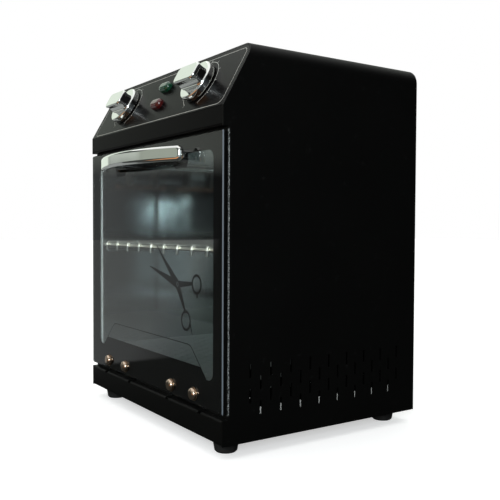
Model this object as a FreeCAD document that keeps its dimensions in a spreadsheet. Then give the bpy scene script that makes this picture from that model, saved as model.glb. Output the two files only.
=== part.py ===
import FreeCAD, Part
import math
import os
import re
import Sketcher

# Dry heat sterilizer: a benchtop steel cabinet with a drop-down glass door, a sloping
# control panel, a bright chamber with one wire shelf, and a tubular heater under a
# slotted floor. Lengths are in millimetres. Sizes are laid out from the front face of
# the cabinet (y 0), the middle of its width (x 0) and the surface it stands on (z 0),
# and the finished pieces are moved back so that the origin is under the middle.

document = FreeCAD.newDocument("dry_heat_sterilizer")
sizes = document.addObject("Spreadsheet::Sheet", "sizes")

DRIVING_SIZES = {
    # cabinet
    "cabinet_width": 254.0,
    "cabinet_depth": 202.0,
    "cabinet_height": 303.5,
    "sheet_metal": 1.2,
    "sheet_fit": 0.2,
    "casing_bend": 13.0,
    "fold_radius": 2.0,
    "chin_height": 19.5,
    "chin_return": 12.0,
    "forehead_height": 15.3,
    "forehead_return": 14.0,
    "slope_run": 28.5,
    "slope_rise": 50.9,
    "door_recess": 5.0,
    "casing_strip": 12.0,
    "casing_strip_inset": 16.0,
    "cut_overrun": 5.0,
    # side vents
    "vent_length": 11.0,
    "vent_width": 2.0,
    "vent_row_pitch": 9.6,
    "vent_rows_low": 25.3,
    "vent_front": 25.0,
    "vent_rear": 21.8,
    "vent_columns": 9,
    # base pan and rear panel
    "rear_lip": 14.0,
    "rear_slot_length": 22.0,
    "rear_slot_height": 4.0,
    "rear_slot_pitch_wide": 34.0,
    "rear_slot_pitch_high": 10.0,
    "rear_slots_top": 60.0,
    "rear_slot_columns": 4,
    "rear_slot_rows": 4,
    "base_slot_length": 36.0,
    "base_slot_width": 4.0,
    "base_slot_pitch": 20.0,
    "base_slot_rows": 4,
    "base_slot_columns": 3,
    "base_slot_columns_apart": 60.0,
    "base_slot_front": 60.0,
    # door
    "door_gap_low": 3.6,
    "door_gap_high": 2.4,
    "glass_thickness": 4.8,
    "glass_edge": 0.8,
    "glass_corner": 2.0,
    # handle
    "handle_from_side": 49.0,
    "handle_standoff": 6.8,
    "handle_bow": 18.7,
    "handle_deep": 6.0,
    "handle_tall": 12.0,
    "handle_round": 2.6,
    "handle_end_round": 4.5,
    "handle_from_top": 14.0,
    "handle_post_from_end": 22.0,
    "handle_post_wide": 24.0,
    "handle_post_tall": 8.0,
    "handle_post_corner": 2.5,
    "handle_screw": 4.0,
    "handle_screw_head": 8.0,
    "handle_screw_head_tall": 2.4,
    # hinges
    "hinge_from_side": 62.0,
    "hinge_half": 28.0,
    "hinge_plate": 1.5,
    "hinge_plate_low": 10.5,
    "hinge_plate_high": 23.5,
    "hinge_axis_back": 7.0,
    "hinge_axis_low": 5.0,
    "hinge_eye": 4.0,
    "hinge_pin": 3.0,
    "hinge_pin_fit": 0.05,
    "hinge_pad": 0.6,
    "hinge_notch_width": 5.0,
    "hinge_notch_depth": 2.0,
    "hinge_ear_gap": 0.5,
    "hinge_mount_eye": 3.4,
    "hinge_mount_front": 3.6,
    "hinge_mount_rear": 18.0,
    "hinge_pin_proud": 1.0,
    "hinge_window_gap": 1.6,
    "hinge_window_side": 4.0,
    # screws of the door
    "door_screws_apart": 38.0,
    "door_screw_up": 8.5,
    "door_screw_shank": 5.0,
    "door_screw_head": 10.0,
    "door_screw_dome": 3.0,
    "door_screw_round": 2.6,
    "door_washer": 11.0,
    "door_washer_thickness": 0.5,
    "hole_clearance": 0.2,
    "nut_fit": 0.05,
    "door_nut_flats": 8.0,
    "door_nut_tall": 3.5,
    # chamber
    "chamber_side_room": 15.0,
    "chamber_floor": 42.2,
    "chamber_below_glass_top": 6.9,
    "chamber_rear_room": 22.0,
    "liner_sheet": 0.8,
    "liner_corner": 4.0,
    "liner_flange": 8.0,
    "liner_front_trim": 6.0,
    "liner_trim_side": 12.0,
    "frame_side_gap": 0.6,
    "frame_opening_corner": 6.0,
    "grille_top": 54.4,
    "grille_gap": 0.6,
    "grille_front": 8.0,
    "grille_lip": 4.0,
    "grille_slots_front": 13.0,
    "grille_slot_length": 8.0,
    "grille_slot_width": 2.0,
    "grille_slots_side": 14.4,
    "grille_slots_rear": 23.0,
    "grille_columns": 17,
    "grille_rows": 9,
    "back_plate_rim": 6.0,
    # shelf
    "shelf_height": 156.0,
    "shelf_wire": 2.6,
    "shelf_rail": 3.2,
    "shelf_front": 9.5,
    "shelf_rear_gap": 4.0,
    "shelf_side_gap": 1.0,
    "shelf_first_wire": 14.4,
    "shelf_wires": 9,
    "shelf_end_drop": 5.0,
    "shelf_end_bend": 2.6,
    "shelf_corner": 8.0,
    "shelf_weld": 0.3,
    "ledge_radius": 3.0,
    "ledge_rest_gap": 0.3,
    "ledge_front": 14.0,
    # heater
    "heater_tube": 6.4,
    "heater_leg_side": 37.0,
    "heater_front": 48.0,
    "heater_middle_rear": 30.0,
    "heater_above_floor": 5.6,
    "heater_end": 9.0,
    "heater_saddle_wide": 13.0,
    "heater_saddle_deep": 8.0,
    "heater_saddle_place": 100.0,
    "heater_bush": 12.0,
    "heater_bush_flange": 16.0,
    "heater_bush_long": 5.0,
    "heater_bush_rim": 2.0,
    "heater_nut_flats": 7.0,
    "heater_nut_tall": 3.2,
    "heater_stud": 4.0,
    "heater_stud_long": 7.0,
    # insulation
    "insulation_thick": 8.0,
    "insulation_gap": 0.3,
    "insulation_low": 74.0,
    "insulation_front": 16.0,
    # knobs and what they turn
    "knob_from_side": 57.0,
    "knob_up": 28.8,
    "knob_diameter": 36.0,
    "knob_base_tall": 5.8,
    "knob_base_round": 1.4,
    "knob_gap": 1.2,
    "knob_bar_long": 32.0,
    "knob_bar_wide": 16.0,
    "knob_bar_tall": 9.4,
    "knob_bar_corner": 5.0,
    "knob_bar_round": 1.2,
    "knob_scoop": 4.0,
    "knob_scoop_place": 9.8,
    "knob_scoop_up": 4.2,
    "knob_recess": 20.0,
    "knob_recess_deep": 4.4,
    "shaft_diameter": 6.0,
    "shaft_flat": 1.5,
    "shaft_above_panel": 12.6,
    "shaft_below_panel": 8.0,
    "shaft_fit": 0.05,
    "bush_diameter": 9.6,
    "bush_proud": 4.2,
    "panel_nut_flats": 13.0,
    "panel_nut_tall": 2.4,
    "timer_side": 42.0,
    "timer_deep": 28.0,
    "control_corner": 4.0,
    "thermostat_side": 34.0,
    "thermostat_deep": 22.0,
    "tab_wide": 6.3,
    "tab_thick": 0.8,
    "tab_long": 8.0,
    "tab_spacing": 9.0,
    "tab_low": 4.0,
    # lamps
    "lamp_place": 3.0,
    "green_lamp_up": 38.0,
    "red_lamp_up": 20.0,
    "lamp_long": 17.0,
    "lamp_wide": 9.0,
    "lamp_proud": 5.0,
    "lamp_round": 3.2,
    "lamp_neck_long": 13.0,
    "lamp_neck_wide": 5.4,
    "lamp_body_wide": 12.0,
    "lamp_body_deep": 16.0,
    "lamp_tab_spacing": 3.2,
    # thermostat bulb
    "bulb_diameter": 6.0,
    "bulb_long": 70.0,
    "bulb_below_ceiling": 12.0,
    "bulb_gap_rear": 8.0,
    "bulb_clip_deep": 6.0,
    "capillary": 1.8,
    "capillary_bend": 6.0,
    "capillary_rear": 14.0,
    # electrical pieces inside
    "cutout_diameter": 16.0,
    "cutout_tall": 6.0,
    "cutout_flange": 24.0,
    "cutout_height": 60.0,
    "block_long": 40.0,
    "block_wide": 16.0,
    "block_tall": 14.0,
    "block_screw": 5.0,
    "block_pitch": 12.0,
    "block_place": 20.0,
    "block_rear_room": 52.0,
    # rear fittings
    "grommet_from_side": 35.0,
    "grommet_height": 40.0,
    "grommet_flange": 20.0,
    "grommet_bore": 8.0,
    "grommet_neck": 14.0,
    "grommet_flange_thick": 2.5,
    "grommet_reach": 5.0,
    "earth_from_grommet": 30.0,
    "earth_height": 18.5,
    "earth_shank": 4.0,
    "earth_flats": 7.0,
    # feet and small screws
    "foot_height": 11.0,
    "foot_top": 21.0,
    "foot_bottom": 18.0,
    "foot_from_side": 22.0,
    "foot_front": 17.0,
    "foot_edge": 1.2,
    "foot_recess": 9.0,
    "foot_recess_deep": 6.0,
    "small_screw": 4.0,
    "small_screw_head": 7.4,
    "small_screw_dome": 2.2,
    "small_screw_long": 8.0,
    "small_screw_round": 1.8,
    "small_nut_flats": 7.0,
    "small_nut_tall": 3.2,
    "base_screw_from_side": 8.0,
    "base_screw_front": 40.0,
    "base_screw_rear_room": 42.0,
    "rear_screw_place": 50.0,
    "rear_screw_low_share": 0.12,
}

# Sizes that follow from the driving ones, so that the pieces keep together.
FOLLOWING_SIZES = {
    "glass_height": "cabinet_height - chin_height - door_gap_low - door_gap_high - forehead_height - slope_rise",
    "chamber_half": "cabinet_width / 2 - chamber_side_room",
    "chamber_ceiling": "foot_height + chin_height + door_gap_low + glass_height - chamber_below_glass_top",
    "chamber_rear": "cabinet_depth - chamber_rear_room",
    "vent_pitch": "(cabinet_depth - vent_front - vent_rear) / (vent_columns - 1)",
    "handle_half": "cabinet_width / 2 - handle_from_side",
    "handle_post_place": "handle_half - handle_post_from_end",
    "hinge_centre": "cabinet_width / 2 - hinge_from_side",
    "door_screw_outer": "hinge_centre + door_screws_apart / 2",
    "door_screw_inner": "hinge_centre - door_screws_apart / 2",
    "liner_trim_half": "chamber_half - liner_trim_side",
    "grille_pitch_wide": "2 * (chamber_half - grille_slots_side) / (grille_columns - 1)",
    "grille_pitch_deep": "(chamber_rear - grille_slots_front - grille_slots_rear) / (grille_rows - 1)",
    "shelf_rear": "chamber_rear - shelf_rear_gap",
    "shelf_pitch": "2 * (chamber_half - shelf_first_wire) / (shelf_wires - 1)",
    "heater_leg": "chamber_half - heater_leg_side",
    "heater_inner_leg": "heater_leg / 3",
    "heater_middle": "chamber_rear - heater_middle_rear",
    "knob_place": "cabinet_width / 2 - knob_from_side",
    "block_front": "cabinet_depth - block_rear_room",
    "grommet_place": "cabinet_width / 2 - grommet_from_side",
    "earth_place": "grommet_place - earth_from_grommet",
    "foot_place_wide": "cabinet_width / 2 - foot_from_side",
    "foot_rear": "cabinet_depth - foot_front",
    "base_screw_place": "cabinet_width / 2 - base_screw_from_side",
    "base_screw_rear": "cabinet_depth - base_screw_rear_room",
}

NAMES = sorted([*DRIVING_SIZES, *FOLLOWING_SIZES], key=len, reverse=True)
NAME_PATTERN = re.compile(r"\b(" + "|".join(NAMES) + r")\b")


def fill_sheet():
    """Write every size into the sheet, its name beside it as an alias."""
    rows = [(name, str(size)) for name, size in DRIVING_SIZES.items()]
    rows += [(name, "=" + text) for name, text in FOLLOWING_SIZES.items()]
    for row, (name, content) in enumerate(rows, start=1):
        sizes.set("A%d" % row, name.replace("_", " "))
        sizes.set("B%d" % row, content)
        sizes.setAlias("B%d" % row, name)
    document.recompute()


def bound(text):
    """The same sum, with each named size read from the sheet."""
    return NAME_PATTERN.sub(r"sizes.\1", text)


def number(text):
    """What a sum of named sizes comes to."""
    result = sizes.evalExpression(text)
    return float(getattr(result, "Value", result))


def bind(thing, prop, text):
    """Tie a property to a sum of named sizes."""
    thing.setExpression(prop, bound(text))


fill_sheet()

# Places that many pieces share, as sums of the driving sizes.
HALF = "cabinet_width / 2"
INSIDE = "(cabinet_width / 2 - sheet_metal)"
BETWEEN = "(cabinet_width / 2 - sheet_metal - sheet_fit)"
UNDER = "foot_height"
TOP = "(foot_height + cabinet_height)"
UNDER_TOP = "(foot_height + cabinet_height - sheet_metal - sheet_fit)"
CHIN_TOP = "(foot_height + chin_height)"
GLASS_LOW = "(foot_height + chin_height + door_gap_low)"
GLASS_HIGH = "(foot_height + chin_height + door_gap_low + glass_height)"
FOREHEAD_LOW = "(foot_height + chin_height + door_gap_low + glass_height + door_gap_high)"
SLOPE_LOW = "(%s + forehead_height)" % FOREHEAD_LOW
SLOPE_LONG = "sqrt(slope_run^2 + slope_rise^2)"
SLOPE_LEAN = "atan(slope_run / slope_rise)"
SHIFT_BACK = "(handle_standoff + handle_bow + handle_deep / 2 - cabinet_depth - grommet_reach) / 2"
HINGE_Y = "hinge_axis_back"
HINGE_Z = "(%s - hinge_axis_low)" % CHIN_TOP
DOOR_SCREW_Z = "(%s + door_screw_up)" % GLASS_LOW
HANDLE_Z = "(%s - handle_from_top)" % GLASS_HIGH
PLATE_FRONT = "(glass_thickness + hinge_pad)"
PLATE_REAR = "(glass_thickness + hinge_pad + hinge_plate)"
LINER_FRONT = "(door_recess + sheet_metal + sheet_fit)"
HEATER_Z = "(chamber_floor + heater_above_floor)"

BODIES = []


def put_in_place(thing, x="0", y="0", z="0"):
    """Bind where a piece stands, moved back with the whole cabinet."""
    bind(thing, "Placement.Base.x", x)
    bind(thing, "Placement.Base.y", "%s + %s" % (y, SHIFT_BACK))
    bind(thing, "Placement.Base.z", z)


def put_on_slope(thing, x, up):
    """Stand a piece on the sloping panel, its z out of the panel and its y up the slope."""
    thing.Placement = FreeCAD.Placement(FreeCAD.Vector(), FreeCAD.Rotation(FreeCAD.Vector(1, 0, 0), 60))
    bind(thing, "Placement.Rotation.Angle", "90 deg - %s" % SLOPE_LEAN)
    put_in_place(thing, x, "%s * slope_run / %s" % (up, SLOPE_LONG),
                 "%s + %s * slope_rise / %s" % (SLOPE_LOW, up, SLOPE_LONG))


def new_body(name):
    """A body that becomes one named piece."""
    body = document.addObject("PartDesign::Body", name)
    body.Label = name
    put_in_place(body)
    BODIES.append(body)
    return body


class Sketch:
    """A sketch on one of the body's own planes, with every point tied to named sizes."""

    def __init__(self, body, plane, offset="0", slope=False):
        self.sketch = body.newObject("Sketcher::SketchObject", body.Name + "_sketch")
        support = [f for f in body.Origin.OriginFeatures if f.Role == plane][0]
        self.sketch.AttachmentSupport = [(support, "")]
        self.sketch.MapMode = "FlatFace"
        if slope:
            lean = FreeCAD.Rotation(FreeCAD.Vector(-1, 0, 0), 30)
            self.sketch.AttachmentOffset = FreeCAD.Placement(FreeCAD.Vector(), lean)
            bind(self.sketch, "AttachmentOffset.Rotation.Angle", SLOPE_LEAN)
            bind(self.sketch, "AttachmentOffset.Base.y", SLOPE_LOW)
        elif offset != "0":
            bind(self.sketch, "AttachmentOffset.Base.z", offset)

    def tie(self, geometry, point, x, y):
        """Fix one point of the sketch at two sums of named sizes."""
        for kind, text, axis in (("DistanceX", x, -2), ("DistanceY", y, -1)):
            if text == "0":
                self.sketch.addConstraint(Sketcher.Constraint("PointOnObject", geometry, point, axis))
                continue
            rule = Sketcher.Constraint(kind, -1, 1, geometry, point, number(text))
            index = self.sketch.addConstraint(rule)
            self.sketch.setExpression("Constraints[%d]" % index, bound(text))

    def tie_across(self, geometry, point, x):
        """Fix only how far across one point of the sketch is."""
        rule = Sketcher.Constraint("DistanceX", -1, 1, geometry, point, number(x))
        self.sketch.setExpression("Constraints[%d]" % self.sketch.addConstraint(rule), bound(x))

    def join(self, first, second):
        """Join the end of one line or arc to the start of the next."""
        self.sketch.addConstraint(Sketcher.Constraint("Coincident", first, 2, second, 1))

    def outline(self, points):
        """A closed outline of straight lines through the points."""
        places = [FreeCAD.Vector(number(x), number(y), 0) for x, y in points]
        lines = []
        for start, end in zip(places, places[1:] + places[:1]):
            lines.append(self.sketch.addGeometry(Part.LineSegment(start, end), False))
        for first, second in zip(lines, lines[1:] + lines[:1]):
            self.join(first, second)
        for line, (x, y) in zip(lines, points):
            self.tie(line, 1, x, y)
        return self

    def box(self, left, low, right, high):
        """A rectangle between two corners."""
        return self.outline([(left, low), (right, low), (right, high), (left, high)])

    def circle(self, x, y, radius):
        """A circle tied at its middle and by its radius."""
        middle = FreeCAD.Vector(number(x), number(y), 0)
        ring = self.sketch.addGeometry(Part.Circle(middle, FreeCAD.Vector(0, 0, 1), number(radius)), False)
        self.tie(ring, 3, x, y)
        self.size(ring, radius)
        return self

    def size(self, curve, radius):
        """Tie the radius of a circle or an arc."""
        index = self.sketch.addConstraint(Sketcher.Constraint("Radius", curve, number(radius)))
        self.sketch.setExpression("Constraints[%d]" % index, bound(radius))

    def arc(self, x, y, radius, start, end):
        """An arc about a tied middle, between two angles in degrees."""
        circle = Part.Circle(FreeCAD.Vector(number(x), number(y), 0), FreeCAD.Vector(0, 0, 1), number(radius))
        piece = Part.ArcOfCircle(circle, math.radians(start), math.radians(end))
        index = self.sketch.addGeometry(piece, False)
        self.tie(index, 3, x, y)
        self.size(index, radius)
        return index

    def line(self, start, end):
        """One straight line between two places, not yet tied."""
        ends = [FreeCAD.Vector(number(x), number(y), 0) for x, y in (start, end)]
        return self.sketch.addGeometry(Part.LineSegment(ends[0], ends[1]), False)

    def meet(self, first, first_end, second, second_end):
        """Make two ends meet."""
        self.sketch.addConstraint(Sketcher.Constraint("Coincident", first, first_end, second, second_end))

    def slot(self, x, y, long, wide, upright=True):
        """A long hole with round ends, tied at the middle of each end."""
        radius = "(%s) / 2" % wide
        reach = "((%s) / 2 - (%s) / 2)" % (long, wide)
        if upright:
            ends = [(x, "%s + %s" % (y, reach)), (x, "%s - %s" % (y, reach))]
            first = self.arc(ends[0][0], ends[0][1], radius, 0, 180)
            second = self.arc(ends[1][0], ends[1][1], radius, 180, 360)
        else:
            ends = [("%s - %s" % (x, reach), y), ("%s + %s" % (x, reach), y)]
            first = self.arc(ends[0][0], ends[0][1], radius, 90, 270)
            second = self.arc(ends[1][0], ends[1][1], radius, -90, 90)
        level = "Horizontal" if upright else "Vertical"
        for curve in (first, second):
            for point in (1, 2):
                self.sketch.addConstraint(Sketcher.Constraint(level, curve, 3, curve, point))
        for start, end in ((first, second), (second, first)):
            from_point = self.sketch.getPoint(start, 2)
            to_point = self.sketch.getPoint(end, 1)
            side = self.sketch.addGeometry(Part.LineSegment(from_point, to_point), False)
            self.join(start, side)
            self.join(side, end)
        return self


def settle(body):
    """Work the body out so far, and stop at the first feature that failed."""
    document.recompute()
    for feature in body.Group:
        empty = feature.isDerivedFrom("PartDesign::Feature") and feature.Shape.isNull()
        if empty or "Invalid" in feature.State or "Error" in feature.State:
            raise RuntimeError("%s of %s did not come out" % (feature.Name, body.Name))


def volume_of(body):
    """The volume that a body has so far."""
    settle(body)
    return body.Shape.Volume if not body.Shape.isNull() else 0.0


def grow(body, sketch, length, backwards=False, both=False):
    """Pad a sketch."""
    pad = body.newObject("PartDesign::Pad", body.Name + "_pad")
    pad.Profile = sketch.sketch
    bind(pad, "Length", length)
    pad.Reversed = backwards
    if both:
        pad.SideType = "Symmetric"
    body.Tip = pad
    return pad


def cut(body, sketch, length=None, backwards=False, both=False):
    """Pocket a sketch, through everything when no length is given, and check that it cut."""
    before = volume_of(body)
    pocket = body.newObject("PartDesign::Pocket", body.Name + "_pocket")
    pocket.Profile = sketch.sketch
    if length is None:
        pocket.Type = "ThroughAll"
        pocket.SideType = "Symmetric"
    else:
        bind(pocket, "Length", length)
        pocket.Reversed = backwards
        if both:
            pocket.SideType = "Symmetric"
    body.Tip = pocket
    if volume_of(body) >= before:
        raise RuntimeError("a cut in %s removed nothing" % body.Name)
    return pocket


def repeat(body, feature, axis, pitch, count, axis_two=None, pitch_two="0", count_two="1"):
    """Repeat a feature along one axis of the body, or along two."""
    pattern = body.newObject("PartDesign::LinearPattern", body.Name + "_pattern")
    pattern.Originals = [feature]
    axes = {f.Role: f for f in body.Origin.OriginFeatures}
    pattern.Direction = (axes[axis], [""])
    bind(pattern, "Length", "%s * (%s - 1)" % (pitch, count))
    bind(pattern, "Occurrences", count)
    if axis_two:
        pattern.Direction2 = (axes[axis_two], [""])
        bind(pattern, "Length2", "%s * (%s - 1)" % (pitch_two, count_two))
        bind(pattern, "Occurrences2", count_two)
    body.Tip = pattern
    return pattern


def turn(body, sketch, axis="V_Axis", away=False):
    """Revolve a sketch about its own upright or level axis, or groove with it."""
    kind = "PartDesign::Groove" if away else "PartDesign::Revolution"
    before = volume_of(body)
    feature = body.newObject(kind, body.Name + "_turned")
    feature.Profile = sketch.sketch
    feature.ReferenceAxis = (sketch.sketch, [axis])
    feature.Angle = 360
    body.Tip = feature
    if away and volume_of(body) >= before:
        raise RuntimeError("a groove in %s removed nothing" % body.Name)
    return feature


def edges_at(body, test):
    """Names of the body's edges whose middle and direction pass a test."""
    settle(body)
    names = []
    shape = body.Tip.Shape
    for index, edge in enumerate(shape.Edges, start=1):
        first, last = edge.ParameterRange
        middle = edge.valueAt((first + last) / 2)
        along = edge.tangentAt((first + last) / 2)
        if test(middle, along, edge):
            names.append("Edge%d" % index)
    return names


def soften(body, radius, test, kind="Fillet"):
    """Round or bevel the edges that pass a test."""
    base = body.Tip
    names = edges_at(body, test)
    if not names:
        raise RuntimeError("no edge to round in %s" % body.Name)
    feature = body.newObject("PartDesign::" + kind, body.Name + "_" + kind.lower())
    feature.Base = (base, names)
    bind(feature, "Radius" if kind == "Fillet" else "Size", radius)
    body.Tip = feature
    return feature


NEAR = 0.01


def near(first, second):
    """Whether two lengths are the same."""
    return abs(first - second) < NEAR


def along_x(direction):
    return abs(direction.x) > 1 - NEAR


def along_y(direction):
    return abs(direction.y) > 1 - NEAR


def along_z(direction):
    return abs(direction.z) > 1 - NEAR


def fold(body, corners, radius):
    """Round the folds of a sheet piece, at corners given in y and z."""
    places = [(number(y), number(z)) for y, z in corners]

    def at_corner(middle, along, edge):
        return along_x(along) and any(near(middle.y, y) and near(middle.z, z) for y, z in places)

    soften(body, radius, at_corner)


def minus(text):
    return "-(%s)" % text


REAR_SCREW_SHARES = ("rear_screw_low_share", "0.5", "(1 - rear_screw_low_share)")
REAR_SCREW_PLACES = [(side + "(%s - casing_strip / 2)" % INSIDE, "(foot_height + %s * cabinet_height)" % share)
                     for side in ("-", "") for share in REAR_SCREW_SHARES]
REAR_SCREW_PLACES += [(side + "rear_screw_place", height) for side in ("-", "")
                      for height in ("(%s - casing_strip / 2)" % UNDER_TOP, "(foot_height + rear_lip / 2)")]
FOOT_PLACES = [(side + "foot_place_wide", depth) for side in ("-", "") for depth in ("foot_front", "foot_rear")]
BASE_SCREW_PLACES = [(side + "base_screw_place", depth) for side in ("-", "")
                     for depth in ("base_screw_front", "base_screw_rear")]
DOOR_SCREW_PLACES = [(side + place, DOOR_SCREW_Z) for side in ("-", "")
                     for place in ("door_screw_outer", "door_screw_inner")]
HANDLE_SCREW_PLACES = [(side + "handle_post_place", HANDLE_Z) for side in ("-", "")]
SCREW_HOLE = "small_screw / 2 + hole_clearance"
CLIP_AND_ROW_SHARES = ("0.25", "0.75")


def circles(sketch, places, radius):
    """The same circle at several places."""
    for x, y in places:
        sketch.circle(x, y, radius)
    return sketch


def hexagons(sketch, places, flats):
    """The same hexagon at several places, two of its points level with its middle."""
    point = "(%s) / sqrt(3)" % flats
    for x, y in places:
        sketch.outline([
            ("%s + %s" % (x, point), y),
            ("%s + %s / 2" % (x, point), "%s + (%s) / 2" % (y, flats)),
            ("%s - %s / 2" % (x, point), "%s + (%s) / 2" % (y, flats)),
            ("%s - %s" % (x, point), y),
            ("%s - %s / 2" % (x, point), "%s - (%s) / 2" % (y, flats)),
            ("%s + %s / 2" % (x, point), "%s - (%s) / 2" % (y, flats)),
        ])
    return sketch


def make_outer_casing():
    """One sheet wrapped over both sides and the top, with strips welded inside for screws."""
    body = new_body("outer_casing")
    wrap = Sketch(body, "XZ_Plane").outline([
        (minus(HALF), UNDER), (minus(HALF), TOP), (HALF, TOP), (HALF, UNDER), (INSIDE, UNDER),
        (INSIDE, TOP + " - sheet_metal"), (minus(INSIDE), TOP + " - sheet_metal"), (minus(INSIDE), UNDER)])
    grow(body, wrap, "cabinet_depth", backwards=True)
    half, inside, top = number(HALF), number(INSIDE), number(TOP)
    under_top = top - number("sheet_metal")
    soften(body, "casing_bend", lambda m, a, e: along_y(a) and near(abs(m.x), half) and near(m.z, top))
    soften(body, "casing_bend - sheet_metal",
           lambda m, a, e: along_y(a) and near(abs(m.x), inside) and near(m.z, under_top))
    low, high = UNDER + " + sheet_metal + sheet_fit", UNDER + " + 2 * sheet_metal + sheet_fit"
    reach, in_wall = "(%s - casing_strip)" % INSIDE, "(%s + sheet_metal / 2)" % INSIDE
    strips = Sketch(body, "XZ_Plane", offset="-casing_strip_inset")
    strips.box(reach, low, in_wall, high).box(minus(in_wall), low, minus(reach), high)
    grow(body, strips, "cabinet_depth - 2 * casing_strip_inset", backwards=True)
    rear = Sketch(body, "XZ_Plane", offset="-(cabinet_depth - 2 * sheet_metal - sheet_fit)")
    low, high = UNDER + " + rear_lip + 2 * sheet_metal", TOP + " - casing_bend - sheet_metal"
    rear.box(reach, low, in_wall, high).box(minus(in_wall), low, minus(reach), high)
    rear.box("-(%s - casing_bend - sheet_metal)" % HALF, TOP + " - sheet_metal - casing_strip",
             HALF + " - casing_bend - sheet_metal", TOP + " - sheet_metal / 2")
    grow(body, rear, "sheet_metal", backwards=True)
    side = Sketch(body, "YZ_Plane")
    side.box("-cut_overrun", CHIN_TOP, "door_recess", FOREHEAD_LOW)
    side.outline([("-cut_overrun", SLOPE_LOW), ("0", SLOPE_LOW), ("slope_run", TOP),
                  ("slope_run", TOP + " + cut_overrun"), ("-cut_overrun", TOP + " + cut_overrun")])
    cut(body, side)
    row = UNDER + " + vent_rows_low"
    for start, first_row, count in (("vent_front", 1, "vent_columns"),
                                    ("vent_front + vent_pitch / 2", 0, "(vent_columns - 1)")):
        vents = Sketch(body, "YZ_Plane")
        for step in (first_row, first_row + 2):
            vents.slot(start, "%s + %d * vent_row_pitch" % (row, step), "vent_length", "vent_width")
        repeat(body, cut(body, vents), "Y_Axis", "vent_pitch", count)
    cut(body, circles(Sketch(body, "XY_Plane", offset=UNDER + " + sheet_metal + sheet_fit"),
                      BASE_SCREW_PLACES, SCREW_HOLE), "2 * sheet_metal", both=True)
    cut(body, circles(Sketch(body, "XZ_Plane", offset="-(cabinet_depth - sheet_metal - sheet_fit)"),
                      REAR_SCREW_PLACES[:-1], SCREW_HOLE), "3 * sheet_metal", both=True)


def make_base_pan():
    """The folded floor of the cabinet: chin in front, vented plate, short lip behind."""
    body = new_body("base_pan")
    rear = "(cabinet_depth - sheet_metal - sheet_fit)"
    profile = Sketch(body, "YZ_Plane").outline([
        ("chin_return", CHIN_TOP), ("0", CHIN_TOP), ("0", UNDER), (rear, UNDER),
        (rear, UNDER + " + rear_lip"), (rear + " - sheet_metal", UNDER + " + rear_lip"),
        (rear + " - sheet_metal", UNDER + " + sheet_metal"), ("sheet_metal", UNDER + " + sheet_metal"),
        ("sheet_metal", CHIN_TOP + " - sheet_metal"), ("chin_return", CHIN_TOP + " - sheet_metal")])
    grow(body, profile, "2 * " + BETWEEN, both=True)
    fold(body, [("0", CHIN_TOP), ("0", UNDER), (rear, UNDER)], "fold_radius")
    fold(body, [("sheet_metal", CHIN_TOP + " - sheet_metal"), ("sheet_metal", UNDER + " + sheet_metal"),
                (rear + " - sheet_metal", UNDER + " + sheet_metal")], "fold_radius - sheet_metal")
    notches = Sketch(body, "XZ_Plane")
    for side in ("-", ""):
        for end in (" - ", " + "):
            middle = "%s(hinge_centre%s(hinge_half - hinge_plate / 2))" % (side, end)
            notches.box(middle + " - hinge_notch_width / 2", CHIN_TOP + " - hinge_notch_depth",
                        middle + " + hinge_notch_width / 2", CHIN_TOP + " + cut_overrun")
    cut(body, notches)
    vents = Sketch(body, "XY_Plane", offset=UNDER)
    vents.slot("-(base_slot_columns - 1) * base_slot_columns_apart / 2", "base_slot_front",
               "base_slot_length", "base_slot_width", upright=False)
    repeat(body, cut(body, vents, "2 * sheet_metal", both=True), "X_Axis", "base_slot_columns_apart",
           "base_slot_columns",
           "Y_Axis", "base_slot_pitch", "base_slot_rows")
    holes = circles(Sketch(body, "XY_Plane", offset=UNDER), FOOT_PLACES + BASE_SCREW_PLACES, SCREW_HOLE)
    cut(body, holes, "3 * sheet_metal", both=True)
    lip_places = [p for p in REAR_SCREW_PLACES if "rear_lip" in p[1]] + [("earth_place", "earth_height")]
    lip_holes = circles(Sketch(body, "XZ_Plane", offset=minus(rear)), lip_places, SCREW_HOLE)
    cut(body, lip_holes, "3 * sheet_metal", both=True)


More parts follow.
